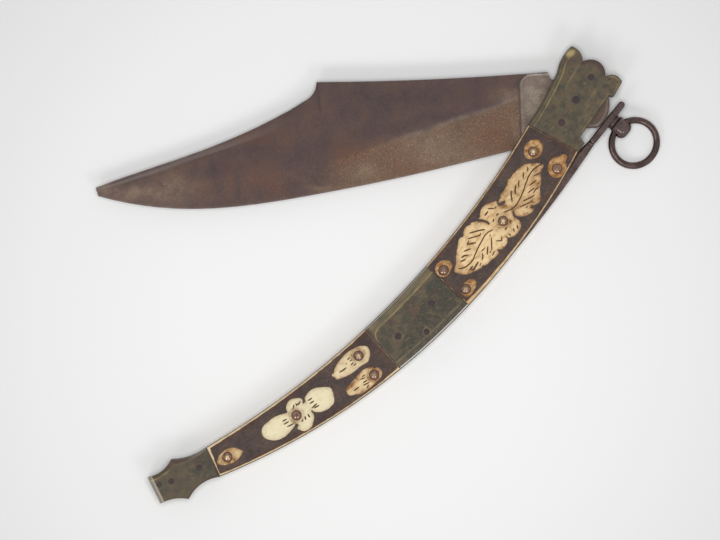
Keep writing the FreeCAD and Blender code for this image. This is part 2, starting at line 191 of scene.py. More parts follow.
def slicedFace(points, step, rims=()):
    # flat n-gon with rim rows, cut into a grid so that it can be carved
    bm = startMesh()
    face = bm.faces.new([bm.verts.new((*p, 0)) for p in points])
    for width in rims:
        bmesh.ops.inset_individual(bm, faces=[face], thickness=width, use_even_offset=True)
    spans = [(min(p[k] for p in points), max(p[k] for p in points), k) for k in (0, 1)]
    spans.sort(key=lambda span: span[0] - span[1])
    inside = [face]
    for low, high, axis in spans:
        normal = Vector((1, 0, 0)) if axis == 0 else Vector((0, 1, 0))
        for i in range(1, int((high - low) / step) + 1):
            geom = set(inside)
            for f in inside:
                geom.update(f.edges)
                geom.update(f.verts)
            made = bmesh.ops.bisect_plane(bm, geom=list(geom), dist=weld, plane_co=normal * (low + i * step),
                                          plane_no=normal)
            inside = list({g for g in made["geom"] if isinstance(g, bmesh.types.BMFace)})
    return bm


def placesOf(verts):
    return np.array([v.co for v in verts])[:, :2]


def setHeights(verts, heights):
    for v, z in zip(verts, heights):
        v.co.z = z


def setMaps(bm, verts, maps):
    for name, values in maps.items():
        layer = bm.verts.layers.float[name]
        for v, value in zip(verts, np.clip(values, 0, 1)):
            v[layer] = float(value)


def thicken(bm, low):
    # the sheet becomes a closed plate: its old vertices go down to low, the new ones are the carved face
    under = bm.verts[:]
    floor = bm.faces[:]
    made = bmesh.ops.extrude_face_region(bm, geom=floor)["geom"]
    setHeights(under, [low] * len(under))
    bmesh.ops.dissolve_faces(bm, faces=[f for f in floor if f.is_valid], use_verts=False)
    return [v for v in made if isinstance(v, bmesh.types.BMVert)]


def thickSheet(bm, low, height, maps, fade=()):
    # the sheet becomes a closed plate: its old vertices are the carved face, and its maps run down the walls,
    # apart from those that fade
    top = bm.verts[:]
    setHeights(top, height)
    setMaps(bm, top, maps)
    made = bmesh.ops.extrude_face_region(bm, geom=bm.faces[:])["geom"]
    under = [g for g in made if isinstance(g, bmesh.types.BMVert)]
    setHeights(under, [low] * len(under))
    setMaps(bm, under, {name: np.zeros(len(under)) for name in fade})
    bmesh.ops.dissolve_faces(bm, faces=[g for g in made if isinstance(g, bmesh.types.BMFace)
                                        and all(v.co.z == low for v in g.verts)], use_verts=False)


def joined(parts):
    bm = startMesh()
    for part in parts:
        carrier = bpy.data.meshes.new("carrier")
        part.to_mesh(carrier)
        part.free()
        bm.from_mesh(carrier)
        bpy.data.meshes.remove(carrier)
    return bm


def placePiece(name, bm, body, replaced, material):
    for face in bm.faces:
        face.smooth = True
    mesh = bpy.data.meshes.new(name)
    bm.to_mesh(mesh)
    bm.free()
    mesh.materials.append(material)
    piece = bpy.data.objects.new(name, mesh)
    bpy.context.scene.collection.objects.link(piece)
    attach(piece, body)
    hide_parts(*replaced)
    return piece


def finishPiece(name, bm, body, replaced, material, sharp=38.0):
    # edges that turn by more than sharp, in degrees, stay crisp
    bmesh.ops.recalc_face_normals(bm, faces=bm.faces[:])
    bmesh.ops.scale(bm, vec=(mm, mm, mm), verts=bm.verts[:])
    for edge in bm.edges:
        edge.smooth = edge.calc_face_angle(0.0) < math.radians(sharp)
    placePiece(name, bm, body, replaced, material)


def finishPair(name, bm, node, material):
    # front piece, and the rear one as its mirror image in the middle plane
    rear = bm.copy()
    bmesh.ops.scale(rear, vec=(1, 1, -1), verts=rear.verts[:])
    bmesh.ops.translate(rear, vec=(0, 0, 2 * layers["middle"]), verts=rear.verts[:])
    finishPiece(name + "_front", bm, "handle", [node + "_front"], material)
    finishPiece(name + "_rear", rear, "handle", [node + "_rear"], material)


# levels and edges of the handle, the same as in the CAD source, in mm
layers = {"middle": 6.6, "slot": 8.55, "liner": 9.45, "field": 12.2, "scale": 12.45, "bolster": 13.2}
handle = {
    "headFront": (-20.8, 5.75), "tailFront": (-202.6, -1.4), "frontRise": 11.7,
    "headBack": (-13.4, -15.9), "tailBack": (-206.4, -13.8), "backRise": 17.0,
    "headJoint": (-20.8, -13.4), "upperJoint": (-89.0, -87.1),
    "lowerJoint": (-124.2, -124.3), "tailJoint": (-202.6, -206.4), "springPin": (-106.6, -27.4),
    "evenRows": 0.4,  # share of even spacing in its grids; the rest crowds the rows towards the edges
}


def edgeCircle(head, tail, rise):
    # centre and radius of the arc that bows away from +Y between two corners
    run = complex(*tail) - complex(*head)
    radius = abs(run) ** 2 / (8 * rise) + rise / 2
    centre = (complex(*head) + complex(*tail)) / 2 - 1j * run / abs(run) * (radius - rise)
    return centre.real, centre.imag, radius


frontCircle = edgeCircle(handle["headFront"], handle["tailFront"], handle["frontRise"])
backCircle = edgeCircle(handle["headBack"], handle["tailBack"], handle["backRise"])


def frontEdge(x, inset=0.0):
    cx, cy, radius = frontCircle
    return cy - np.sqrt((radius + inset) ** 2 - (x - cx) ** 2)


def backEdge(x, inset=0.0):
    cx, cy, radius = backCircle
    return cy - np.sqrt((radius - inset) ** 2 - (x - cx) ** 2)


def handleSheet(start, end, insets, rows, endInset=0.0):
    # grid between two joints, with closer rows near its four edges
    bm = startMesh()
    bmesh.ops.create_grid(bm, x_segments=rows[0], y_segments=rows[1], size=0.5)
    grid = placesOf(bm.verts).T + 0.5
    even = handle["evenRows"]
    s, t = even * grid + (1 - even) * (0.5 - 0.5 * np.cos(np.pi * grid))
    fx, bx = [start[k] - endInset + s * (end[k] - start[k] + 2 * endInset) for k in (0, 1)]
    front = np.stack([fx, frontEdge(fx, insets[0])], 1)
    back = np.stack([bx, backEdge(bx, insets[1])], 1)
    places = front + t[:, None] * (back - front)
    width = np.hypot(*(back - front).T)
    length = abs(end[0] - start[0] + end[1] - start[1]) / 2 + 2 * endInset
    for v, (x, y) in zip(bm.verts, places):
        v.co = (x, y, 0)
    gaps = {"front": t * width, "back": (1 - t) * width, "start": s * length, "end": (1 - s) * length}
    return bm, places, s, gaps


# materials; pores, pits, specks and file marks are finer on the real thing, and are drawn half a millimetre
# to a millimetre wide so that they show

# bone, sawn and carved by hand: warm tan cream, brown in the cuts, painted shade round the rivets, fine dark
# pores
def makeBone():
    look = {"toneMm": 5.0, "cloudMm": 1.7, "poreMm": 0.95, "poreTurn": 0.5, "poreSqueeze": 0.3,
            "tones": [(0.3, "#C08E54"), (0.42, "#DAB07A"), (0.58, "#EDCB97"), (0.72, "#D6A86C")],
            "cream": "#EAE0BC", "stain": "#83562C", "pore": "#96683A", "cut": "#4A2F18",
            "roughness": 0.45, "specular": 0.35}
    material, tree, shader, place = startMaterial("carvedBone")
    cut, stain, pale = [addNode(tree, "Attribute", out="Fac", attribute_name=name)
                        for name in ("cut", "stain", "pale")]
    tone = addNode(tree, "TexNoise", {"Vector": place, "Scale": perMm / look["toneMm"], "Detail": 4.0})
    cloud = addNode(tree, "TexNoise", {"Vector": place, "Scale": perMm / look["cloudMm"], "Detail": 6.0,
                                       "Roughness": 0.7})
    smear = addNode(tree, "MapRange", {"Value": cloud, "From Min": 0.36, "From Max": 0.66,
                                       "To Min": 0.35, "To Max": 1.25})
    # the stain map also carries painted shade round the rivets
    wash = addNode(tree, "Math", {0: smear, 1: stain}, operation="MULTIPLY", use_clamp=True)
    grain = addNode(tree, "Mapping", {"Vector": place, "Rotation": (0, 0, look["poreTurn"]),
                                      "Scale": (look["poreSqueeze"], 1, 1)})
    pore = addNode(tree, "TexNoise", {"Vector": grain, "Scale": perMm / look["poreMm"], "Detail": 3.0,
                                      "Roughness": 0.6})
    most = addNode(tree, "MapRange", {"Value": pale, "To Min": 0.75, "To Max": 0.22})
    pores = addNode(tree, "MapRange", {"Value": pore, "From Min": 0.5, "From Max": 0.72, "To Max": most})
    incised = addNode(tree, "ValToRGB", {"Fac": cut}, ramp=[(0.2, 0.0), (0.75, 1.0)])
    colour = addNode(tree, "ValToRGB", {"Fac": tone}, ramp=look["tones"])
    for share, name in ((pale, "cream"), (wash, "stain"), (pores, "pore"), (incised, "cut")):
        colour = addNode(tree, "Mix", {0: share, 6: colour, 7: linear(look[name])}, 2, data_type="RGBA")
    bump = addNode(tree, "Bump", {"Height": pore, "Strength": 0.15, "Distance": 0.05 * mm})
    setInputs(tree, shader, {"Base Color": colour, "Normal": bump, "Roughness": look["roughness"],
                             "Specular IOR Level": look["specular"]})
    return material


# dark horn-like filling, scraped flat: brown black, mottled, reddish towards its rim
def makeField():
    look = {"mottleMm": 7.0, "grainMm": 0.9, "scrapeMm": 0.5, "scrapeSqueeze": 0.12,
            "tones": [(0.32, "#362B29"), (0.48, "#453834"), (0.62, "#51423A"), (0.75, "#4F4340")],
            "red": "#5A2D14", "specular": 0.4}
    material, tree, shader, place = startMaterial("darkHornFilling")
    stain = addNode(tree, "Attribute", out="Fac", attribute_name="stain")
    mottle = addNode(tree, "TexNoise", {"Vector": place, "Scale": perMm / look["mottleMm"], "Detail": 6.0,
                                        "Roughness": 0.65})
    base = addNode(tree, "ValToRGB", {"Fac": mottle}, ramp=look["tones"])
    reddish = addNode(tree, "Mix", {0: stain, 6: base, 7: linear(look["red"])}, 2, data_type="RGBA")
    grain = addNode(tree, "TexNoise", {"Vector": place, "Scale": perMm / look["grainMm"], "Detail": 3.0})
    fleck = addNode(tree, "MapRange", {"Value": grain, "From Min": 0.35, "From Max": 0.75,
                                       "To Min": 0.74, "To Max": 1.32})
    colour = addNode(tree, "Mix", {0: 1.0, 6: reddish, 7: fleck}, 2, data_type="RGBA", blend_type="MULTIPLY")
    stretch = addNode(tree, "Mapping", {"Vector": place, "Scale": (look["scrapeSqueeze"], 1, 1)})
    scrape = addNode(tree, "TexNoise", {"Vector": stretch, "Scale": perMm / look["scrapeMm"], "Detail": 2.0})
    bump = addNode(tree, "Bump", {"Height": scrape, "Strength": 0.25, "Distance": 0.05 * mm})
    rough = addNode(tree, "MapRange", {"Value": mottle, "To Min": 0.4, "To Max": 0.6})
    setInputs(tree, shader, {"Base Color": colour, "Normal": bump, "Roughness": rough,
                             "Specular IOR Level": look["specular"]})
    return material


# cast brass, filed to shape and long unpolished: brown olive patina, teal clouds, bare metal on rubbed edges,
# near-white polish and painted highlights on some edges
def makeBrass():
    look = {"patinaMm": 3.0, "spotMm": 1.0, "cloudMm": 1.4, "grainMm": 0.55,
            "scratchMm": 0.5, "scratchSqueeze": 0.14, "scratchTurns": (0.55, -0.75, 1.9),
            "tones": [(0.3, "#424038"), (0.43, "#514B3F"), (0.55, "#615544"), (0.66, "#695842"),
                      (0.76, "#796A4E")],
            "spot": "#4A4A3E", "teal": "#413F37", "brown": "#503E38", "bare": "#AA9868", "shineAndPolish": "#F2EEE2"}
    material, tree, shader, place = startMaterial("brassOlivePatina")
    wear, brown, teal, shineAndPolish = [addNode(tree, "Attribute", out="Fac", attribute_name=name)
                                 for name in ("wear", "brown", "stain", "pale")]
    patina = addNode(tree, "TexNoise", {"Vector": place, "Scale": perMm / look["patinaMm"], "Detail": 6.0,
                                        "Roughness": 0.65})
    spot = addNode(tree, "TexNoise", {"Vector": place, "Scale": perMm / look["spotMm"], "Detail": 5.0,
                                      "Roughness": 0.7})
    spotted = addNode(tree, "MapRange", {"Value": spot, "From Min": 0.52, "From Max": 0.7, "To Max": 0.65})
    cloud = addNode(tree, "TexNoise", {"Vector": place, "Scale": perMm / look["cloudMm"], "Detail": 6.0,
                                       "Roughness": 0.75})
    drift = addNode(tree, "MapRange", {"Value": cloud, "From Min": 0.36, "From Max": 0.58,
                                       "To Min": -0.1, "To Max": 1.3})
    clouded = addNode(tree, "Math", {0: drift, 1: teal}, operation="MULTIPLY", use_clamp=True)
    rubbed = wear
    for turn in look["scratchTurns"]:
        stretch = addNode(tree, "Mapping", {"Vector": place, "Rotation": (0, 0, turn),
                                            "Scale": (look["scratchSqueeze"], 1, 1)})
        scratch = addNode(tree, "TexNoise", {"Vector": stretch, "Scale": perMm / look["scratchMm"],
                                             "Detail": 2.0})
        lines = addNode(tree, "MapRange", {"Value": scratch, "From Min": 0.69, "From Max": 0.79,
                                           "To Max": 0.45})
        rubbed = addNode(tree, "Math", {0: rubbed, 1: lines}, operation="MAXIMUM", use_clamp=True)
    colour = addNode(tree, "ValToRGB", {"Fac": patina}, ramp=look["tones"])
    for share, name in ((spotted, "spot"), (clouded, "teal"), (brown, "brown"), (rubbed, "bare"),
                        (shineAndPolish, "shineAndPolish")):
        colour = addNode(tree, "Mix", {0: share, 6: colour, 7: linear(look[name])}, 2, data_type="RGBA")
    grain = addNode(tree, "TexNoise", {"Vector": place, "Scale": perMm / look["grainMm"], "Detail": 4.0})
    bump = addNode(tree, "Bump", {"Height": grain, "Strength": 0.3, "Distance": 0.06 * mm})
    rough = addNode(tree, "MapRange", {"Value": rubbed, "To Min": 0.52, "To Max": 0.32})
    metal = addNode(tree, "MapRange", {"Value": rubbed, "To Min": 0.35, "To Max": 0.95})
    setInputs(tree, shader, {"Base Color": colour, "Normal": bump, "Roughness": rough, "Metallic": metal})
    return material


# brass rivets gone brown, with the yellow metal rubbed bare on top of some, and painted shade round the foot
# of each dome
def makeRivetBrass():
    look = {"toneMm": 1.2, "tones": [(0.3, "#69514A"), (0.5, "#83675B"), (0.7, "#96785E")],
            "foot": "#2A1E1A", "bare": "#E6D09A", "metallic": 0.85}
    material, tree, shader, place = startMaterial("brownedRivetBrass")
    wear, foot = [addNode(tree, "Attribute", out="Fac", attribute_name=name) for name in ("wear", "cut")]
    tone = addNode(tree, "TexNoise", {"Vector": place, "Scale": perMm / look["toneMm"], "Detail": 4.0})
    colour = addNode(tree, "ValToRGB", {"Fac": tone}, ramp=look["tones"])
    for share, name in ((foot, "foot"), (wear, "bare")):
        colour = addNode(tree, "Mix", {0: share, 6: colour, 7: linear(look[name])}, 2, data_type="RGBA")
    rough = addNode(tree, "MapRange", {"Value": tone, "To Min": 0.08, "To Max": 0.16})
    setInputs(tree, shader, {"Base Color": colour, "Roughness": rough, "Metallic": look["metallic"]})
    return material


# forged carbon steel with an old patina: purple brown flats, tan speckled bevel, rust and blue-black stains
def makeBladeSteel():
    look = {"cloudMm": 9.0, "rustMm": 3.5, "speckMm": 0.55, "pitMm": 0.5,
            "flats": [(0.3, "#4C3F3F"), (0.5, "#584642"), (0.7, "#604B42")],
            "bevel": [(0.3, "#634F40"), (0.5, "#6D5646"), (0.7, "#725642")],
            "rust": "#6A4737", "tan": "#85715F", "dark": "#443A3A", "grey": "#8C7E71",
            "glint": "#B5A598", "cut": "#2A2323", "bare": "#B3AAA2", "metallic": 0.4}
    material, tree, shader, place = startMaterial("carbonSteelBrownPatina")
    flank, grey, wear, dark, rust, tan, cut = [
        addNode(tree, "Attribute", out="Fac", attribute_name=name)
        for name in ("flank", "grey", "wear", "stain", "brown", "pale", "cut")]
    cloud = addNode(tree, "TexNoise", {"Vector": place, "Scale": perMm / look["cloudMm"], "Detail": 6.0,
                                       "Roughness": 0.65})
    flats, bevel = [addNode(tree, "ValToRGB", {"Fac": cloud}, ramp=look[name]) for name in ("flats", "bevel")]
    colour = addNode(tree, "Mix", {0: flank, 6: flats, 7: bevel}, 2, data_type="RGBA")
    patch = addNode(tree, "TexNoise", {"Vector": place, "Scale": perMm / look["rustMm"], "Detail": 7.0,
                                       "Roughness": 0.75})
    ragged = addNode(tree, "MapRange", {"Value": patch, "From Min": 0.3, "From Max": 0.6, "To Max": 1.2})
    stains = [addNode(tree, "Math", {0: ragged, 1: share}, operation="MULTIPLY", use_clamp=True)
              for share in (rust, tan, dark)]
    for share, name in zip(stains + [grey], ("rust", "tan", "dark", "grey")):
        colour = addNode(tree, "Mix", {0: share, 6: colour, 7: linear(look[name])}, 2, data_type="RGBA")
    speck = addNode(tree, "TexNoise", {"Vector": place, "Scale": perMm / look["speckMm"], "Detail": 3.0,
                                       "Roughness": 0.8})
    coarse = addNode(tree, "Math", {0: flank, 1: grey}, operation="MAXIMUM")
    deep = addNode(tree, "MapRange", {"Value": coarse, "To Min": 0.76, "To Max": 0.58})
    high = addNode(tree, "MapRange", {"Value": coarse, "To Min": 1.26, "To Max": 1.5})
    specks = addNode(tree, "MapRange", {"Value": speck, "From Min": 0.3, "From Max": 0.72,
                                        "To Min": deep, "To Max": high})
    colour = addNode(tree, "Mix", {0: 1.0, 6: colour, 7: specks}, 2, data_type="RGBA", blend_type="MULTIPLY")
    glint = addNode(tree, "MapRange", {"Value": speck, "From Min": 0.62, "From Max": 0.72, "To Max": coarse})
    # the bare colour also shows painted highlights and sheen that the wear map carries
    for share, name in ((glint, "glint"), (cut, "cut"), (wear, "bare")):
        colour = addNode(tree, "Mix", {0: share, 6: colour, 7: linear(look[name])}, 2, data_type="RGBA")
    pit = addNode(tree, "TexNoise", {"Vector": place, "Scale": perMm / look["pitMm"], "Detail": 3.0})
    bump = addNode(tree, "Bump", {"Height": pit, "Strength": 0.3, "Distance": 0.05 * mm})
    rough = addNode(tree, "MapRange", {"Value": speck, "To Min": 0.42, "To Max": 0.64})
    setInputs(tree, shader, {"Base Color": colour, "Normal": bump, "Roughness": rough,
                             "Metallic": look["metallic"]})
    return material


# wrought iron, browned and handled smooth: dark brown with soft white lights
def makeIron(name, dark, mid, light, rough, metallic):
    look = {"toneMm": 5.0, "grainMm": 0.7, "roughSpread": 0.06}
    material, tree, shader, place = startMaterial(name)
    tone = addNode(tree, "TexNoise", {"Vector": place, "Scale": perMm / look["toneMm"], "Detail": 5.0,
                                      "Roughness": 0.65})
    base = addNode(tree, "ValToRGB", {"Fac": tone}, ramp=[(0.32, dark), (0.5, mid), (0.7, light)])
    grain = addNode(tree, "TexNoise", {"Vector": place, "Scale": perMm / look["grainMm"], "Detail": 4.0})
    specks = addNode(tree, "MapRange", {"Value": grain, "From Min": 0.3, "From Max": 0.75,
                                        "To Min": 0.8, "To Max": 1.25})
    colour = addNode(tree, "Mix", {0: 1.0, 6: base, 7: specks}, 2, data_type="RGBA", blend_type="MULTIPLY")
    bump = addNode(tree, "Bump", {"Height": grain, "Strength": 0.2, "Distance": 0.06 * mm})
    roughness = addNode(tree, "MapRange", {"Value": tone, "To Min": rough - look["roughSpread"],
                                           "To Max": rough + look["roughSpread"]})
    setInputs(tree, shader, {"Base Color": colour, "Normal": bump, "Roughness": roughness,
                             "Metallic": metallic})
    return material


bone = makeBone()
field = makeField()
brass = makeBrass()
bladeSteel = makeBladeSteel()
springIron = makeIron("brownedSpringIron", "#4A3E3A", "#5A4B48", "#6B5A56", 0.18, 0.75)
ringIron = makeIron("polishedRingIron", "#443835", "#524340", "#65544F", 0.16, 0.85)
linerIron = makeIron("dullLinerIron", "#39322C", "#4A4238", "#5A5142", 0.5, 0.5)
pinIron = makeIron("hammeredPinIron", "#332A2C", "#3C3133", "#483B39", 0.55, 0.3)
rivetBrass = makeRivetBrass()
print("materials made")


# blade: CAD outline, with softened ridges, pitting and patina spots in its own length and depth (mm)
bladeLook = {
    "step": 0.5, "turn": math.radians(139.7), "half": 1.8, "thin": 0.1, "probe": 0.06, "above": 40,
    "soften": 6, "flatTo": 22.6, "clipFrom": 102.6, "leastSwedge": 0.4, "crisp": 50.0,
    "pit": 0.025, "pitSizes": (2.2, 0.9), "scribeWidth": 0.3, "scribeDepth": 0.15,
    "grooveAt": 0.1, "grooveWidth": 0.32, "grooveDepth": 0.2,
    "ridge": [(22, -3.4), (36.5, 2.3), (46.6, 4.5), (56.7, 8.1), (70.2, 11.5), (90.5, 17.6), (107.5, 22.5),
              (157, 27), (194, 29)],
    "swedge": [(102.4, -0.6), (124.8, 9.1), (145.1, 14.9), (168.7, 21.2), (185.6, 25.8), (192.7, 27.2)],
    "swedgeDepth": [(103, 0.35), (112, 0.6), (150, 1.2), (190, 1.3)],
    "clip": [(103.3, -10.6), (124.6, 3.8), (144.9, 11.2), (168.6, 19.2), (185.6, 24.5), (193, 26.7)],
    "scribe": [(103.1, -11.6), (102.8, -6.6), (102.4, -0.6)],
    "heel": (17.2, -6.4, 5.0), "heelFrom": (7.5, 10.5), "heelTop": -11.1, "tang": (8.5, 6.0),
    "bevelFade": (112, 84), "ridgeFrom": 23, "ridgeShineFade": (82, 60), "swedgeShineFade": (150, 172),
    "sheenFade": (108, 150), "greyPatch": (16.5, -0.6, 4.2, 7.0), "edgeBelow": 12, "sway": 1.6,
    "dark": [(145.4, 21.6, 1.6, 6.4), (144, 28.3, 2.4, 2.4), (136.4, 28.6, 1.6, 5.6), (134.6, 34, 2.4, 2),
             (116, 28.8, 2, 3.2), (106.5, 24.6, 2.8, 4.4), (110.5, 17.7, 3.6, 3.6), (127.1, 14.4, 5.6, 3.6),
             (102.5, 23, 3.6, 4.8), (59.5, -4.1, 15.2, 3.2), (53.2, 4.4, 12, 1.6), (73.4, 8, 12, 2.6),
             (86.2, -4.6, 8.8, 5.6)],
    "rust": [(126.2, 25.7, 7.2, 5.2), (149.7, 28, 3.6, 3.6), (139.6, 25.8, 1.6, 5.6), (94.6, 19.1, 3.6, 6.4),
             (88.5, 18, 3.6, 3.6), (71.7, 14.8, 8.8, 3.6), (67.4, 23, 10.4, 3.2), (33.6, 13.1, 6.4, 4.8),
             (128.2, 10.3, 9.6, 2.4), (119.1, 30.7, 3.6, 2.8)],
    "tan": [(163.7, 28.1, 8.8, 5.2), (189.7, 27.3, 3.6, 2), (179.1, 29.4, 6.4, 2.4), (60.3, 14.6, 12, 4.8),
            (85.5, 24.8, 6, 3.2), (53.9, 20.9, 10.4, 3.6), (103.8, 30.7, 4, 1.2), (27.5, -3.3, 4.8, 2.4),
            (24.8, 11.5, 1.3, 5.6)],
}


def spots(x, y, places):
    total = np.zeros(len(x))
    for cx, cy, rx, ry in places:
        total += np.exp(-0.8 * (((x - cx) / rx) ** 2 + ((y - cy) / ry) ** 2))
    return np.clip(total, 0, 1)


def outlineOf(node):
    # outer outline of a CAD solid, read where the middle plane cuts its walls, in order, in mm
    bm = bmesh.new()
    bm.from_mesh(nodes[node].data)
    bmesh.ops.remove_doubles(bm, verts=bm.verts[:], dist=cadWeld)
    made = bmesh.ops.bisect_plane(bm, geom=bm.verts[:] + bm.edges[:] + bm.faces[:], dist=1e-7,
                                  plane_co=(0, 0, layers["middle"] * mm), plane_no=(0, 0, 1),
                                  clear_outer=True, clear_inner=True)
    after = {}
    for e in made["geom_cut"]:
        if isinstance(e, bmesh.types.BMEdge):
            for a, b in (e.verts, reversed(e.verts)):
                after.setdefault(a, []).append(b)
    start = min(after, key=lambda v: v.co.x)
    loop, last, here = [start], None, start
    while True:
        last, here = here, [v for v in after[here] if v is not last][0]
        if here is start:
            break
        if (here.co - loop[-1].co).length > 0.01 * mm:
            loop.append(here)
    points = [(v.co.x / mm, v.co.y / mm) for v in loop]
    bm.free()
    return points


def bladeSheet(rim):
    # one side of the blade at the CAD solid's height, with the ridges between its facets softened
    look = bladeLook
    bm = slicedFace(rim, look["step"])
    solid = nodes["blade"].data
    cast = BVHTree.FromPolygons([v.co / mm for v in solid.vertices], [p.vertices for p in solid.polygons])
    corners = [(i * look["probe"], j * look["probe"]) for i in (1, -1) for j in (1, -1)]
    for v in bm.verts:
        hits = [cast.ray_cast(Vector((v.co.x + x, v.co.y + y, look["above"])), Vector((0, 0, -1)))[0]
                for x, y in (corners if v.is_boundary else [(0, 0)])]
        v.co.z = max([hit.z for hit in hits if hit] + [layers["middle"] + look["thin"]])
    places = placesOf(bm.verts)
    c, s = math.cos(look["turn"]), math.sin(look["turn"])
    x = places[:, 0] * c + places[:, 1] * s
    y = -places[:, 0] * s + places[:, 1] * c
    for v, along in zip(bm.verts, x):
        if along < look["flatTo"]:
            v.co.z = layers["middle"] + look["half"]
    inner = [v for v in bm.verts if not v.is_boundary]
    for i in range(look["soften"]):
        bmesh.ops.smooth_vert(bm, verts=inner, factor=0.5, use_axis_z=True)
    return bm, places, x, y


def makeBlade():
    look = bladeLook
    rim = outlineOf("blade")
    bm, places, x, y = bladeSheet(rim)
    height = np.array([v.co.z for v in bm.verts])
    inside = np.array([not v.is_boundary for v in bm.verts])
    edge = toRing(places, rim)
    # false edge, scribed line and the groove round the heel
    swedge, clip, ridge = [stationed(x, look[name]) for name in ("swedge", "clip", "ridge")]
    band = np.clip((swedge - y) / np.maximum(swedge - clip, look["leastSwedge"]), 0, 1)
    band *= x > look["clipFrom"]
    height = np.minimum(height, layers["middle"] + look["half"] - band * stationed(x, look["swedgeDepth"]))
    scribe = bell(toPath(np.stack([x, y], 1), look["scribe"]), look["scribeWidth"])
    hx, hy, hr = look["heel"]
    out = cornerGap(x - hx, hy - y, hr)
    groove = bell(out - look["grooveAt"], look["grooveWidth"])
    broad, fine = look["pitSizes"]
    rough = wander(places, broad) + wander(places, fine, 3.0)
    height += inside * (look["pit"] * rough * (out > 0.3) - look["grooveDepth"] * groove
                        - look["scribeDepth"] * scribe)
    # patina
    sway = look["sway"] * np.stack([wander(places, 5.0, 40.0), wander(places, 5.0, 41.0)])
    dark, rust, tan = [spots(x + sway[0], y + sway[1], look[name]) for name in ("dark", "rust", "tan")]
    blotch = wander(places, 3.0, 7.0)
    flank = smooth(-0.9, 1.4, y - ridge + 0.6 * blotch) * (out > 0.2)
    flank *= 0.12 + 0.88 * smooth(*look["bevelFade"], x + 6 * blotch)
    tang = smooth(*look["tang"], x)
    heel = smooth(0.1, -0.3, out) * smooth(*look["heelFrom"], x)
    px, py, pw, ph = look["greyPatch"]
    patch = np.exp(-((x - px) / pw) ** 2 - ((y - py) / ph) ** 2)
    grey = heel * np.clip(0.45 + 0.65 * patch + 0.45 * blotch, 0, 1)
    # metal rubbed bare on edges and round the heel and tang; painted highlight along the ridge
    wear = 0.12 * bell(y - ridge - 0.3, 1.1) * (x > look["ridgeFrom"]) * smooth(*look["ridgeShineFade"], x)
    wear += 0.28 * fading(edge, 0.35) * (y > look["edgeBelow"])
    lip = 0.45 + 0.55 * smooth(-4.5, -7.0, y) + 0.4 * smooth(6, 11, y)
    wear += 0.55 * heel * (bell(out + 0.45, 0.3) * lip + bell(y - look["heelTop"], 0.5))
    wear += 0.45 * tang * bell(edge - 1.0, 0.3)
    wear *= 0.8 + 0.9 * blotch
    # painted highlight along the swedge line and painted sheen across the swedge band
    wear += 0.16 * bell(y - swedge, 0.5) * smooth(*look["swedgeShineFade"], x)
    wear += 0.17 * smooth(0.02, 0.2, band) * smooth(1.0, 0.3, band) * smooth(*look["sheenFade"], x)
    top = bm.verts[:]
    setHeights(top, height)
    setMaps(bm, top, {
        "flank": flank, "grey": grey, "wear": wear, "stain": 0.58 * dark + 0.4 * groove + 0.25 * tang,
        "brown": 0.5 * rust, "pale": 0.6 * tan + 0.3 * tang, "cut": 0.6 * scribe + 0.5 * groove})
    made = bmesh.ops.extrude_face_region(bm, geom=bm.faces[:])["geom"]
    for v in made:
        if isinstance(v, bmesh.types.BMVert):
            v.co.z = 2 * layers["middle"] - v.co.z
    finishPiece("blade_forged", bm, "blade", ["blade"], bladeSteel, look["crisp"])


makeBlade()
print("blade made")


# bolsters: filed brass plates with sloping facets, softened ridges and small dents
bolsterLook = {"dent": 0.03, "fineDent": 0.6, "edgeSoft": 0.3}


def dents(places, coarse, fine, seed):
    fineShare = bolsterLook["fineDent"] * wander(places, fine, seed + 1)
    return bolsterLook["dent"] * (wander(places, coarse, seed) + fineShare)


midLook = {
    "insets": (0.25, 0.4), "rows": (110, 70), "facet": 3.2, "backFacet": 3.5, "drop": 0.9, "soft": 0.22,
    "corner": 3.5, "foot": 0.9, "pinSeat": (1.7, 1.2), "seatDepth": 0.28, "seatRing": 1.6,
    "scratches": 9, "seed": 5, "rubbed": (-99.0, -23.5), "rubbedSpread": (5.0, 3.0), "scratchTurn": 2.3,
    "scratchLength": (3.0, 7.0), "scratchWidth": 0.14, "scratchDepth": 0.03,
}


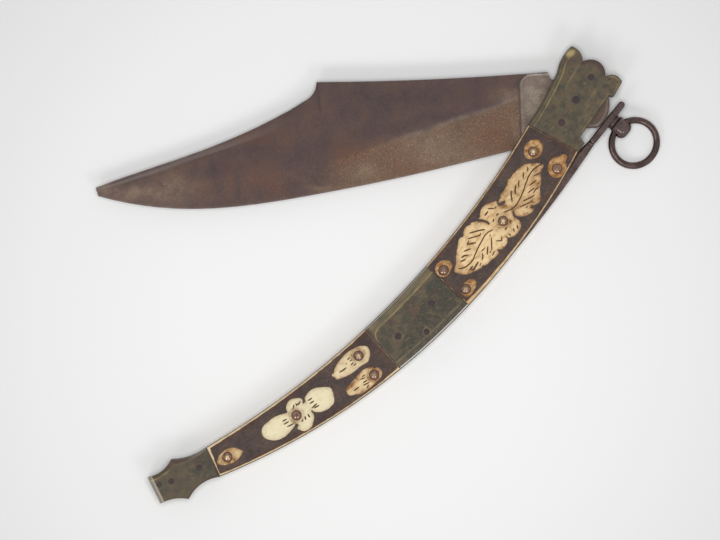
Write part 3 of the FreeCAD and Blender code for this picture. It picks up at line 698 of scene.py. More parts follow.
def makeMidBolster():
    look = midLook
    joints = handle["upperJoint"], handle["lowerJoint"]
    bm, places, s, gaps = handleSheet(*joints, look["insets"], look["rows"])
    front, rear, end = gaps["front"], gaps["back"], gaps["end"]
    r = look["corner"]
    out = cornerGap(look["facet"] + r - front, look["foot"] + r - end, r)
    back = look["backFacet"] - rear
    edge = np.min(list(gaps.values()), axis=0)
    pinGap = np.hypot(*(places - handle["springPin"]).T)
    drop = look["drop"] / look["facet"] * (softRise(out, look["soft"]) + softRise(back, look["soft"]))
    drop += bolsterLook["edgeSoft"] * slant(edge, bolsterLook["edgeSoft"]) ** 2
    drop += look["seatDepth"] * smooth(*look["pinSeat"], pinGap)
    height = layers["bolster"] - drop + dents(places, 3.0, 1.0, 2.0)
    # rubbed ridges, streaks along the facet, and polished edges with painted highlights along the front and
    # back
    rub = 0.75 + 0.9 * wander(places, 4.0, 4.0)
    facet = smooth(-0.1, 0.4, out) * (front < look["facet"] + 1) * smooth(0.5, 2.5, end)
    streak = wander(np.stack([6 * front, 14 * s], 1), 3.0, 21.0)
    wear = rub * (0.95 * bell(out, 0.22) * smooth(9.0, 3.5, front) + 0.45 * fading(front, 0.3)
                  + 0.25 * bell(back - 0.7, 0.3))
    wear += facet * np.clip(0.1 + 0.35 * streak, 0, 1) + 0.25 * bell(pinGap - look["seatRing"], 0.18)
    # painted highlights: near-white lines along the back and front edges, a trace on the facet
    polishAndHighlight = np.maximum(0.8 * bell(rear - 0.2, 0.25), np.maximum(0.03 * facet, 0.5 * bell(front, 0.22)))
    # brown and teal clouds, with a dark line along the back facet
    brown = 0.85 * smooth(2.8, 0.4, end) * smooth(8.0, 2.0, front)
    brown += 0.5 * smooth(0.1, 0.5, wander(places, 6.0, 14.0)) * (out < 0) * smooth(14, 8, front)
    across = front / (front + rear)
    teal = smooth(0.42, 0.56, across + 0.6 * (0.5 - s) + 0.12 * wander(places, 4.0, 15.0))
    teal *= smooth(0.2, -0.3, out)
    foot = smooth(0.8, 0.95, s + 0.1 * wander(places, 3.0, 16.0))
    teal = np.maximum(teal * (1 - 0.8 * foot), 0.6 * foot * smooth(0.75, 0.5, across) * (out < 0.2))
    groove = bell(back + 0.1 + 0.4 * wander(places, 3.0, 34.0), 0.3)
    dice = np.random.default_rng(look["seed"])
    for i in range(look["scratches"]):
        start = np.array(look["rubbed"]) + dice.normal(0, look["rubbedSpread"])
        angle = look["scratchTurn"] + dice.normal(0, 0.12)
        run = dice.uniform(*look["scratchLength"]) * np.array([math.cos(angle), math.sin(angle)])
        line = bell(toSegments(places, [(start, start + run)]), look["scratchWidth"]) * (out < 0)
        height -= look["scratchDepth"] * line
        wear += dice.uniform(0.08, 0.22) * line
    thickSheet(bm, layers["liner"], height,
               {"wear": wear, "brown": brown, "stain": teal + 0.9 * groove, "pale": polishAndHighlight}, ["pale"])
    finishPair("mid_plate", bm, "mid_bolster", brass)


def plateSheet(look):
    # plate inside a traced outline; its carved face comes back with the outline's points
    outline = tracedPath(look["start"], look["moves"])[:-1]
    bm = slicedFace(outline, look["step"], look["rims"])
    top = thicken(bm, layers["liner"])
    return bm, top, placesOf(top), outline


def sideGap(places, look, first, last):
    # distance to the side of a traced outline that some of its moves make
    start = look["moves"][first - 1][-1] if first else look["start"]
    return toPath(places, tracedPath(start, look["moves"][first:last]))


headLook = {
    "step": 0.32, "rims": (0.12, 0.16, 0.22), "facet": 2.2, "drop": 0.85, "soft": 0.2,
    "backFacet": 2.6, "backSlope": 0.16, "rim": 0.5, "rimDepth": 0.35, "lineWidth": 0.35,
    "lobeRim": 1.5, "lobeDepth": 0.3, "lobeLine": 1.7, "lobeLineDepth": 0.15, "backLineDepth": 0.12,
    "fluteFrom": (-3, 4), "fluteAbove": (5.5, 0.28), "fluteSpan": (0.1, 1.2), "fluteDepth": 0.25,
    "earFrom": (12.2, 13.4), "earBelow": (-1.6, -2.8), "earRim": (0.7, 1.3), "earDepth": 0.35,
    "foldSpan": (0.15, 0.7), "tip": (10.9, 15.2), "tipLong": 1.5, "tipSpan": (2.2, 0.4), "tipRise": 0.2,
    "tipShine": (10.6, 15.6), "hornFoot": (8.6, 13.4),
    "start": (-20.8, 5.75),
    "moves": [
        ((-8.6, 9.15), (2.5, 13.4)), ((8.0, 16.3), (13.2, 17.1)), ((14.1, 14.3), (12.3, 9.4)),
        ((16.8, 4.4), (14.8, -1.2)), ((17.7, -2.6), (18.6, -5.9)), ((18.5, -6.9), (17.8, -7.4)),
        ((11.9, -9.2),), ((10.9, -7.6),), ((-8.9, -11.9),), ((-9.2, -14.9),), ((-13.4, -15.9),),
        ((-20.8, 5.75),),
    ],
    "flute": [(12.0, 9.7), (8.6, 9.2), (5.5, 8.2), (3.0, 7.4), (0.8, 6.8)],
    "backLine": [(14.5, -1.0), (11.0, -1.8), (7.5, -2.8), (4.0, -3.9), (1.5, -4.8)],
    "earFold": [(13.2, -2.4), (14.6, -3.4), (16.2, -3.6)],
}


def makeHeadBolster():
    look = headLook
    bm, top, places, outline = plateSheet(look)
    x, y = places.T
    edge = toRing(places, outline)
    front, lobe, ear, back = [sideGap(places, look, *moves) for moves in ((0, 2), (3, 4), (4, 7), (8, 10))]
    flute, backLine, fold = [toPath(places, look[name]) for name in ("flute", "backLine", "earFold")]
    # facets, flute behind the horn, ear and rim of the lobe
    drop = look["drop"] / look["facet"] * softRise(look["facet"] - front, look["soft"])
    drop += look["backSlope"] * softRise(look["backFacet"] - back, look["soft"])
    drop += look["rimDepth"] * slant(edge, look["rim"]) ** 2
    level, slope = look["fluteAbove"]
    onFlute = smooth(look["facet"], look["facet"] + 1.0, front) * smooth(*look["fluteFrom"], x)
    onFlute *= y > level + slope * x
    drop += look["fluteDepth"] * onFlute * smooth(*look["fluteSpan"], flute)
    drop += look["backLineDepth"] * bell(backLine, look["lineWidth"])
    onEar = smooth(*look["earFrom"], x) * smooth(*look["earBelow"], y)
    drop += look["earDepth"] * onEar * smooth(*look["earRim"], ear) * smooth(*look["foldSpan"], fold)
    drop += look["lobeDepth"] * slant(lobe, look["lobeRim"]) ** 2
    drop += look["lobeLineDepth"] * bell(lobe - look["lobeLine"], look["lineWidth"])
    tipGap = np.hypot((x - look["tip"][0]) / look["tipLong"], y - look["tip"][1])
    drop -= look["tipRise"] * smooth(*look["tipSpan"], tipGap)
    height = layers["bolster"] - np.maximum(drop, 0.0) + dents(places, 2.6, 0.9, 8.0)
    # rubbed ridges, horn tip rubbed bare with a painted highlight, brown lobe and horn foot, teal clouds
    rub = 0.7 + wander(places, 3.5, 6.0)
    wear = rub * (0.75 * bell(front - look["facet"], 0.24) + 0.3 * bell(front - 1.1, 0.25) * smooth(8, 0, x)
                  + 0.4 * fading(flute, 0.25) + 0.3 * bell(backLine - 0.45, 0.25)
                  + 0.3 * bell(back - 0.6, 0.25))
    wear += onEar * (0.25 * bell(ear - 0.8, 0.35) + 0.2 * fading(fold, 0.25)) + smooth(1.9, 0.6, tipGap)
    brown = smooth(2.0, 1.3, lobe) * smooth(-2.0, 0.0, y) * smooth(10.4, 9.2, y)
    brown += 0.6 * smooth(2.6, 1.2, np.hypot(*(places - look["hornFoot"]).T))
    brown += 0.25 * smooth(0.1, 0.6, wander(places, 2.5, 18.0))
    wear *= 1 - 0.8 * np.clip(brown, 0, 1)
    teal = 0.6 * smooth(0.0, 0.6, wander(places, 3.0, 17.0)) + 0.6 * onEar * smooth(0.9, 1.5, ear)
    teal += 0.45 * smooth(-4, -14, x)
    # painted highlight on the horn tip, in the near-white colour
    tx, ty = x - look["tipShine"][0], y - look["tipShine"][1]
    shine = smooth(1.3, 0.2, np.hypot(tx / 1.6 + ty * 0.5, ty * 0.9))
    setMaps(bm, top, {"wear": wear, "brown": 0.85 * brown, "stain": 0.32 * teal, "pale": 0.08 * shine})
    setHeights(top, height)
    finishPair("head_plate", bm, "head_bolster", brass)


tailLook = {
    "step": 0.32, "rims": (0.12, 0.2, 0.3), "start": (-202.6, -1.4),
    "facet": [(-229, 1.6), (-222, 1.5), (-216, 2.1), (-209, 1.2), (-202, 0.5)], "drop": 0.95, "most": 1.1,
    "endFacet": 1.6, "endDrop": 0.85, "backFacet": 0.5, "backDrop": 0.5, "jointDrop": 0.15,
    "moves": [
        ((-210.2, 0.6), (-216.3, 4.6)), ((-222.3, 3.7), (-228.0, 5.7)), ((-231.4, -5.5),),
        ((-226.2, -7.6), (-221.7, -11.8)), ((-214.0, -10.8), (-206.4, -13.8)), ((-202.6, -1.4),),
    ],
}


def makeTailBolster():
    look = tailLook
    bm, top, places, _ = plateSheet(look)
    x = places[:, 0]
    front, end, back, joint = [sideGap(places, look, *moves) for moves in ((0, 2), (2, 3), (3, 5), (5, 6))]
    width = stationed(x, look["facet"])
    drop = look["drop"] * slant(front, width) + look["endDrop"] * slant(end, look["endFacet"])
    drop += look["backDrop"] * slant(back, look["backFacet"])
    drop += look["jointDrop"] * slant(joint, bolsterLook["edgeSoft"]) ** 2
    height = layers["bolster"] - np.minimum(drop, look["most"]) + dents(places, 2.6, 0.9, 9.0)
    rub = 0.75 + wander(places, 3.0, 11.0)
    toEnd = smooth(-216, -224, x)
    endRidge = end - look["endFacet"]
    wear = (0.25 + 0.7 * toEnd) * bell(front - width, 0.25) * rub
    wear += 0.35 * bell(endRidge, 0.22) + 0.2 * toEnd * fading(back, 0.4)
    # brown in patches and on the facets, painted shade along the rounded back edge, polish with painted
    # highlights on the end and on the front facet by the neck
    brown = 0.35 * smooth(-0.2, 0.5, wander(places, 6.0, 19.0)) + 0.7 * smooth(1.1, 0.4, back)
    brown += 0.4 * (front < width) * smooth(-204, -210, x)
    polishAndHighlight = 0.17 * smooth(look["endFacet"], 1.3, end) + 0.4 * bell(endRidge, 0.2) + 0.35 * fading(end, 0.25)
    polishAndHighlight += 0.12 * (front < width) * smooth(-214, -206, x)
    teal = 0.25 + 0.6 * smooth(-218, -205, x)
    setMaps(bm, top, {"wear": wear, "brown": brown, "stain": teal, "pale": polishAndHighlight})
    setHeights(top, height)
    finishPair("tail_plate", bm, "tail_bolster", brass)


makeMidBolster()
makeHeadBolster()
makeTailBolster()
print("bolsters made")


# carved bone scales: a rimmed plate, the dark filling, and the ornaments that stand up through it
carving = {"step": 0.2, "rims": (0.1, 0.16), "foot": 11.7, "clear": 0.02, "lift": 0.34, "swell": 1.3,
           "cutHalf": (0.3, 0.46), "cutEnds": (0.0, 1.0), "cutSlope": (1.4, 0.4), "cutDepth": 0.3,
           "seatRadius": 3.2, "seatRim": 2.3, "seatFloor": 2.1, "seatDepth": 0.3,
           "ripple": 0.03, "leafMiddle": -54.0, "leafBlend": 6.0}

leafMotif = [
    (-27.2, -10.1), (-28.9, -11), (-30.3, -11.7), (-31.4, -13.2), (-32.5, -14.5), (-33.9, -15.5),
    (-35, -16.5), (-36.1, -18.1), (-37.1, -19.2), (-38.3, -19.9), (-39.7, -19.8), (-41.2, -19.1),
    (-42.3, -18.8), (-42.4, -19.4), (-42, -20.2), (-43.3, -20.8), (-45, -20.6), (-46.5, -20), (-47.9, -19),
    (-48.8, -17.7), (-48.8, -16.6), (-48.5, -15.7), (-48.8, -15.4), (-49.5, -16.3), (-49.9, -17.4),
    (-49.6, -18.6), (-49.3, -19.8), (-49.7, -21.3), (-50.5, -22.2), (-51.9, -22.9), (-53.5, -23.1),
    (-55.1, -23), (-56.5, -22.4), (-57.2, -22), (-57.4, -20.9), (-57.8, -22), (-58.4, -22.7), (-59.3, -23.3),
    (-60.7, -23.6), (-62.3, -23.5), (-63.6, -22.6), (-64, -23.5), (-64.6, -24), (-65.7, -24.1), (-67, -24),
    (-68.5, -23.9), (-69.6, -24), (-70.9, -23.9), (-71.8, -23.6), (-72.3, -23.1), (-72.9, -23.4),
    (-74.4, -23.1), (-76.2, -22.6), (-78.1, -22), (-79.7, -21.1), (-80.8, -19.9), (-81.6, -18.6),
    (-82.1, -17), (-81.3, -16.4), (-80.2, -15.8), (-78.9, -14.6), (-77.5, -13.1), (-76.2, -12),
    (-74.8, -11.1), (-73.7, -10.2), (-72.6, -9.3), (-71.4, -8.9), (-70.2, -9.3), (-69.4, -8.6), (-68.6, -8),
    (-67.3, -7.4), (-65.9, -7.4), (-64.9, -7.8), (-64.1, -7.5), (-62.9, -8), (-61.5, -9.2), (-60.2, -10.6),
    (-59.6, -11.8), (-59.5, -12.7), (-59, -12.8), (-58.8, -11.7), (-59.3, -10.4), (-60.1, -9.2),
    (-60.7, -8.3), (-59.8, -8.1), (-59.1, -7.3), (-58.1, -6.6), (-56.7, -6), (-54.5, -6.2), (-53.4, -6.7),
    (-52.5, -7), (-51.5, -7.5), (-50.6, -8), (-51.2, -8.9), (-51.3, -10), (-50.6, -10.8), (-49.4, -11),
    (-48.3, -10.6), (-48.2, -10.1), (-48.9, -9.7), (-50, -9.4), (-50.5, -9.1), (-50.2, -8.6), (-49.6, -8.2),
    (-48.6, -8.1), (-48.1, -7.5), (-47.5, -7.2), (-46, -7), (-44.6, -6.6), (-43.5, -6.2), (-42.5, -5.5),
    (-41.2, -5), (-39.8, -4.8), (-38.1, -4.5), (-36.6, -4.5), (-34.7, -4.5), (-32.9, -4.8), (-31.8, -5.2),
    (-30.4, -6.4), (-28.8, -7.6), (-27.8, -8.7), (-27.6, -9.4),
]
leafCuts = [
    (((-27.6, -9.3), (-29.4, -8.9), (-31.3, -8.7), (-33, -9), (-34.8, -9.5), (-36.3, -10.3), (-37.8, -11),
      (-39.5, -12), (-41.1, -12.8), (-42.8, -13.5), (-44.3, -14), (-45.5, -14.4), (-47.2, -14.6),
      (-48.6, -14.4), (-50.2, -13.8), (-51.6, -13.2)), 0.55),
    (((-32.4, -6.5), (-33.4, -7.6)), 0.64), (((-35.1, -6.9), (-36.7, -8.5)), 0.64),
    (((-38.6, -8), (-40.4, -9.8)), 0.52), (((-40.8, -8.6), (-42.4, -9.9), (-43.2, -11)), 0.7),
    (((-43.7, -9), (-44.7, -10.1), (-46.2, -12.3)), 0.64), (((-30.2, -11.5), (-33, -10.8)), 0.52),
    (((-33.4, -12.7), (-36.8, -12.3)), 0.52), (((-36.2, -14.4), (-39.2, -14.1)), 0.52),
    (((-34.3, -15.3), (-36.3, -15.2), (-37.7, -15.6)), 0.46), (((-38.2, -16.6), (-42.7, -15.3)), 0.64),
    (((-40.7, -17.6), (-45.3, -16.1)), 0.55), (((-42.8, -17.9), (-43.8, -18)), 0.55),
    (((-46.5, -15.5), (-48.1, -15.5)), 0.43), (((-52.4, -9.5), (-53, -9.6)), 0.61),
    (((-55.2, -7.9), (-53.5, -9.4)), 0.64), (((-56.2, -8.7), (-57.9, -9.1)), 0.8),
    (((-53.7, -12.1), (-54.5, -12.1)), 0.8), (((-56.5, -12.6), (-57.4, -13.1)), 0.75),
    (((-51.7, -17.6), (-52.6, -17.9)), 0.7), (((-54.9, -18.5), (-55.9, -18.7)), 0.8),
    (((-53.2, -20.7), (-53.7, -21.6)), 0.75), (((-51.3, -20.7), (-51.9, -21.8)), 0.78),
    (((-56, -21.1), (-55.9, -21.6)), 0.85),
    (((-59.5, -15.4), (-61.7, -14.8), (-63.5, -14.9), (-65.4, -15.5), (-67.5, -16.2), (-69.6, -17),
      (-71.6, -17.9), (-73.4, -18.8), (-75.4, -19.1), (-77.7, -18.9), (-79.1, -18.3), (-80.2, -17.5)), 0.55),
    (((-61.9, -13.1), (-63.9, -11.8), (-67.3, -10.1)), 0.69),
    (((-64.1, -13.1), (-64.9, -13.5), (-69.3, -11.3)), 0.61), (((-68.1, -14.5), (-71.1, -12.7)), 0.69),
    (((-69.6, -12.1), (-71, -12.7)), 0.57), (((-71.2, -14.9), (-73.8, -13.9)), 0.65),
    (((-73.7, -16.1), (-75, -15.2), (-76.2, -15.1)), 0.73), (((-75.7, -16.6), (-77.6, -16)), 0.73),
    (((-62.2, -17.4), (-65.3, -21)), 0.57), (((-65.9, -21.2), (-66.8, -21.3)), 0.49),
    (((-65.7, -19), (-67.9, -21.1)), 0.61), (((-69, -19.5), (-70, -20.8), (-70.9, -21.3)), 0.61),
    (((-66.8, -18.5), (-68.7, -18.7)), 0.49), (((-58.8, -19.8), (-59.9, -21), (-61.5, -19.6)), 0.53),
    (((-61.5, -16.1), (-62.3, -16.5)), 0.49), (((-72.6, -20.9), (-76.2, -21.8)), 0.78),
    (((-75.4, -20.6), (-77.3, -20.9)), 0.73), (((-72.2, -22), (-73.1, -22.4)), 0.57),
    (((-64.9, -22.2), (-66.6, -22.8)), 0.61),
]
flowerMotif = [
    (-161.1, -14.8), (-160.5, -13.8), (-159.3, -13.3), (-157.5, -13), (-155.7, -13.1), (-154, -13.9),
    (-152.2, -15.3), (-150.6, -16.7), (-150, -17.8), (-150.3, -19.2), (-151.1, -20.8), (-152.2, -22.3),
    (-153.4, -23.1), (-155.2, -23.3), (-157.1, -23.1), (-159, -22.3), (-160.6, -21.1), (-161.3, -20),
    (-161.7, -19.2), (-162.1, -20.6), (-162.5, -21.6), (-163.6, -22.5), (-164.9, -23.4), (-166.3, -24),
    (-167.9, -23.9), (-169.4, -23.2), (-170.4, -21.9), (-170.7, -20.9), (-170.3, -20.3), (-169.6, -20),
    (-169.7, -18.8), (-170.9, -19.1), (-172.9, -19.5), (-175, -19.7), (-177.3, -19.5), (-179.2, -18.8),
    (-180.9, -17.7), (-182.1, -16.2), (-182.7, -14.9), (-182.9, -13.4), (-182.1, -11.9), (-181, -11),
    (-179.4, -10.6), (-177.3, -10.7), (-175, -10.9), (-172.5, -11.7), (-170.8, -12.5), (-169.3, -13.1),
    (-168.8, -12), (-168, -11.1), (-167, -10.5), (-165.6, -10.2), (-164.1, -10.6), (-162.7, -11.5),
    (-161.7, -12.5), (-161.5, -13.4), (-161.8, -14.1), (-162.3, -14.7),
]
flowerCuts = [
    (((-158.3, -15.6), (-159.9, -15.4)), 0.69), (((-158.5, -17), (-160.2, -16.7)), 0.69),
    (((-158.4, -18.5), (-160.8, -18.6)), 0.69), (((-158.2, -19.6), (-160.1, -19.2)), 0.69),
    (((-162.6, -13.4), (-163.9, -14)), 0.69), (((-163.6, -13.4), (-164.7, -13.6), (-164.3, -12.7)), 0.6),
    (((-165.3, -12.7), (-166.4, -13.5)), 0.64), (((-163.8, -19.4), (-164, -20.5)), 0.87),
    (((-165.3, -19.3), (-165.8, -20.1)), 0.92), (((-166.8, -19.6), (-167.5, -19.8)), 0.78),
    (((-171.4, -14.9), (-173, -14.5)), 0.64), (((-171.5, -16.2), (-173.5, -15.7)), 0.64),
    (((-170.6, -18.1), (-173.1, -17.4)), 0.64),
]
firstTear = [
    (-146.2, -14.4), (-145, -14.1), (-143.9, -13.4), (-142.1, -12.6), (-140.1, -12.2), (-138, -11.9),
    (-135.9, -11.8), (-133.9, -12.1), (-132.1, -12.6), (-130.4, -13.2), (-129.3, -13.9), (-128.3, -15.1),
    (-128.1, -16.3), (-128.6, -17.7), (-129.3, -18.6), (-130.4, -19.4), (-131.5, -20), (-132.8, -20.1),
    (-134.1, -19.7), (-135.6, -19.5), (-137.1, -19.5), (-138.8, -19.3), (-140.8, -19), (-142.5, -18.5),
    (-144.2, -17.8), (-145.6, -17.1), (-146.1, -16.7), (-146, -15.8),
]
firstTearCuts = [
    (((-136.3, -14), (-137.2, -14)), 0.73), (((-136.2, -15.2), (-137, -15.1)), 0.6),
    (((-136.6, -16.5), (-137.7, -16.5)), 0.63), (((-135.9, -17.5), (-137.1, -17.5)), 0.66),
    (((-140, -16), (-141.5, -15.9), (-143, -15.6)), 0.66), (((-138.7, -14.7), (-138.8, -15)), 0.56),
]
secondTear = [
    (-146.1, -22.7), (-145, -22.1), (-143.6, -22.1), (-142.2, -21.8), (-140.3, -21.5), (-138.4, -21.3),
    (-136.4, -21.2), (-134.9, -21.4), (-133.4, -22), (-132.3, -22.8), (-131.7, -23.9), (-130.7, -24.5),
    (-130.4, -25.6), (-130.6, -27.1), (-131.5, -27.9), (-133.2, -28.3), (-134.9, -28.4), (-136.2, -28.4),
    (-137.6, -28.4), (-139.7, -28.3), (-141.3, -28), (-142.9, -27.6), (-144.6, -26.4), (-146, -25.5),
    (-146.6, -24.8), (-146.6, -23.7),
]
secondTearCuts = [
    (((-136.6, -23.1), (-137.7, -23)), 0.6), (((-137.2, -24), (-138.8, -23.4)), 0.6),
    (((-137.3, -25.3), (-138.9, -25.1)), 0.63), (((-137.3, -26.5), (-139.6, -25.9)), 0.6),
    (((-138.1, -27.2), (-139.1, -27.5)), 0.73), (((-141.6, -25.1), (-143.8, -24.9)), 0.63),
]
upperCarving = [
    {"outline": leafMotif, "cuts": leafCuts, "pale": 0.25, "shade": 0.19},
    {"outline": [(-30.2, -3.8), (-29.9, -2), (-28.8, -0.6), (-27, 0.5), (-25.2, 0.7), (-23.1, -0.1),
                 (-21.9, -1.4), (-21.8, -2.8), (-22.2, -4.4), (-23.7, -5.6), (-25.6, -6.5), (-27.8, -5.9)],
     "pale": 0.0, "tan": 0.22},
    {"outline": [(-26.5, -12), (-24.6, -10.9), (-22.4, -10.7), (-20.4, -11.8), (-18.2, -12.6), (-18.1, -14.2),
                 (-19.7, -15.1), (-20.9, -16.9), (-22.5, -18.0), (-24.5, -18.4), (-26.5, -17.7), (-27.8, -16),
                 (-27.6, -13.7)],
     "pale": 0.0, "tan": 0.22},
    {"outline": [(-86.4, -10.7), (-84.3, -10.2), (-82.3, -11), (-80.8, -13.1), (-81.2, -14.9), (-82.6, -15.6),
                 (-84.3, -16.3), (-86.1, -16.3), (-87.5, -15.2), (-87.9, -13.5), (-87.5, -11.8)],
     "pale": 0.0, "tan": 0.4},
    {"outline": [(-83.1, -23.4), (-81.1, -23.3), (-79.3, -23.9), (-78.5, -25.7), (-79.3, -27), (-81.3, -27.9),
                 (-83.5, -28.5), (-85.3, -28.1), (-85.9, -26.6), (-85.4, -24.8)],
     "pale": 0.1, "tan": 0.3},
]
lowerCarving = [
    {"outline": flowerMotif, "cuts": flowerCuts, "pale": 0.95},
    {"outline": firstTear, "cuts": firstTearCuts, "pale": 0.68},
    {"outline": secondTear, "cuts": secondTearCuts, "pale": 0.42},
    {"outline": [(-192.9, -12.5), (-193.1, -11.7), (-193.8, -10), (-195.6, -8.1), (-199, -7.3),
                 (-201.9, -7.7), (-203.5, -9), (-202.8, -10.8), (-200.5, -12.4), (-197.8, -13.4),
                 (-195.1, -13.3), (-193.6, -12.9)],
     "pale": 0.3, "tan": 0.12},
]
# rivet places, each with how bare its top is rubbed
upperRivets = [(-26.6, -3.5, 1.0), (-24.2, -15.0, 0.1), (-54.2, -15.6, 0.95), (-85.0, -13.9, 0.1),
               (-83.6, -25.4, 0.45)]
lowerRivets = [(-133.1, -15.9, 0.8), (-133.7, -25.7, 0.35), (-167.4, -16.5, 0.0), (-199.0, -10.0, 0.9)]


def makeOrnament(ornament, rivets):
    look = carving
    outline = roundLoop(ornament["outline"])
    bm = slicedFace(outline, look["step"], look["rims"])
    top = thicken(bm, look["foot"])
    places = placesOf(top)
    x, y = places.T
    edge = toRing(places, outline)
    seat = np.min([np.hypot(*(places - rivet[:2]).T) for rivet in rivets], axis=0)
    cut = np.zeros(len(places))
    least, most = look["cutHalf"]
    outer, inner = look["cutSlope"]
    for points, width in ornament.get("cuts", []):
        ends = np.minimum(*[np.hypot(*(places - end).T) for end in (points[0], points[-1])])
        half = width * (least + (most - least) * smooth(*look["cutEnds"], ends))
        cut = np.maximum(cut, smooth(half * outer, half * inner, toPath(places, points)))
    # crowned face with hollow rivet seats, then the cuts
    lowest = layers["field"] + look["clear"]
    height = lowest + look["lift"] * (1 - fading(edge, look["swell"]))
    height -= look["seatDepth"] * smooth(look["seatRadius"], look["seatFloor"], seat)
    height = np.maximum(height + look["ripple"] * wander(places, 1.5, 12.0), lowest) - look["cutDepth"] * cut
    # brown stain from the edge inwards, in patches towards the back and in the cuts; painted shade round the
    # rivets in their hollow seats
    patch = wander(places, 4.0, 13.0)
    tanned = 1 - ornament["pale"]
    across = np.clip((y - frontEdge(x)) / (backEdge(x) - frontEdge(x)), 0, 1)
    stain = (0.5 + 0.3 * tanned) * fading(edge, 0.42) + 0.22 * fading(edge, 1.2) + ornament.get("tan", 0.0)
    ragged = smooth(2.4, 0.2, edge) * smooth(-0.1, 0.45, patch)
    stain += 0.85 * tanned * ragged * (0.4 + 0.9 * smooth(0.4, 0.75, across))
    stain += ornament.get("shade", 0.0) * np.clip((x - look["leafMiddle"]) / look["leafBlend"], -1, 1)
    stain += 0.95 * smooth(look["seatRadius"] + 0.9, look["seatRim"], seat) * (0.75 + 0.6 * patch)
    stain += tanned * (0.14 + 0.55 * smooth(0.05, 0.45, patch)) * (0.55 + 0.9 * across) + 0.35 * cut
    # painted shade: a dark ring on the bone right round each rivet
    cut = np.maximum(cut, 0.5 * smooth(look["seatRim"], 2.05, seat))
    setMaps(bm, top, {"cut": cut, "stain": stain, "pale": np.full(len(places), ornament["pale"])})
    setHeights(top, height)
    return bm


# widths of the bone rims at stations along each side, with their tone; red is the filling's stain at its rim
scaleLook = {
    "insets": (0.15, 0.4), "groundInsets": (0.4, 0.65), "groundEnds": -0.25, "groundFoot": 11.4,
    "groundWave": 0.03, "groundRipple": 0.012,
    "stations": [0, 0.1, 0.5, 0.9, 1.0], "ragged": 0.14, "sunk": 0.75, "step": 0.3, "rounded": 0.5,
}
upperScale = {
    "joints": ("headJoint", "upperJoint"), "rows": (150, 46), "pale": 0.35, "red": 0.25, "tan": 0.25,
    "front": [0.35, 0.42, 0.45, 0.45, 0.45], "back": [0.35, 0.4, 0.6, 1.2, 1.5],
    "start": [0.2] * 5, "end": [0.25] * 5,
}
lowerScale = {
    "joints": ("lowerJoint", "tailJoint"), "rows": (150, 44), "pale": 0.6, "red": 0.4, "tan": 0.1,
    "front": [0.4, 0.55, 0.6, 0.65, 0.9], "back": [0.9, 0.5, 0.45, 0.5, 0.55],
    "start": [0.25] * 5, "end": [1.4, 1.2, 0.7, 0.4, 0.35],
}


def makeScale(name, rim, ornaments, rivets):
    look = scaleLook
    joints = [handle[joint] for joint in rim["joints"]]
    bm, places, s, gaps = handleSheet(*joints, look["insets"], rim["rows"])
    across = gaps["front"] / (gaps["front"] + gaps["back"])
    along = {"front": s, "back": s, "start": across, "end": across}
    edge = np.min(list(gaps.values()), axis=0)
    depths = [gap - np.interp(along[side], look["stations"], rim[side]) for side, gap in gaps.items()]
    depth = np.min(depths, axis=0) - look["ragged"] * wander(places, 2.5, 21.0)
    height = layers["scale"] - look["sunk"] * smooth(0.0, look["step"], depth)
    height -= look["rounded"] * slant(edge, look["rounded"]) ** 2
    stain = 0.4 * smooth(-look["step"], 0.0, depth) + 0.2 * slant(edge, 0.35) + rim["tan"]
    thickSheet(bm, layers["liner"], height, {"stain": stain, "pale": np.full(len(places), rim["pale"])})
    parts = [bm] + [makeOrnament(ornament, rivets) for ornament in ornaments]
    finishPair(name + "_bone", joined(parts), name + "_scale", bone)
    bm, places, s, gaps = handleSheet(*joints, look["groundInsets"], rim["rows"], look["groundEnds"])
    near = np.min(list(gaps.values()), axis=0)
    height = layers["field"] + look["groundWave"] * wander(places, 5.0, 31.0)
    height += look["groundRipple"] * wander(places, 1.2, 32.0)
    stain = 1.2 * smooth(2.4, 0.3, near) * (0.5 + wander(places, 6.0, 33.0)) + 0.1 * smooth(0.25, 0.0, s)
    thickSheet(bm, look["groundFoot"], height, {"stain": rim["red"] * stain})
    finishPair(name + "_field", bm, name + "_ground", field)


makeScale("upper", upperScale, upperCarving, upperRivets)
makeScale("lower", lowerScale, lowerCarving, lowerRivets)
print("carved scales made")


# turned pieces: rivets and pins are profiles spun round their own axes
def turned(bm, places, profile, steps=28):
    for x, y in places:
        verts = [bm.verts.new((x + r, y, z)) for r, z in profile]
        edges = [bm.edges.new(pair) for pair in zip(verts[:-1], verts[1:])]
        bmesh.ops.spin(bm, geom=verts + edges, cent=(x, y, 0), axis=(0, 0, 1), angle=2 * math.pi, steps=steps,
                       use_merge=True)
    bmesh.ops.remove_doubles(bm, verts=bm.verts[:], dist=weld)
    return bm


rivetLook = {"radius": 2.05, "rise": 0.76, "shank": 1.1, "seat": 12.3, "rim": 0.1, "domeRows": 12,
             "bare": (0.95, 0.45), "bareAbove": 12.5, "foot": (1.5, 1.95), "footShadeShare": 0.7, "reach": 3}


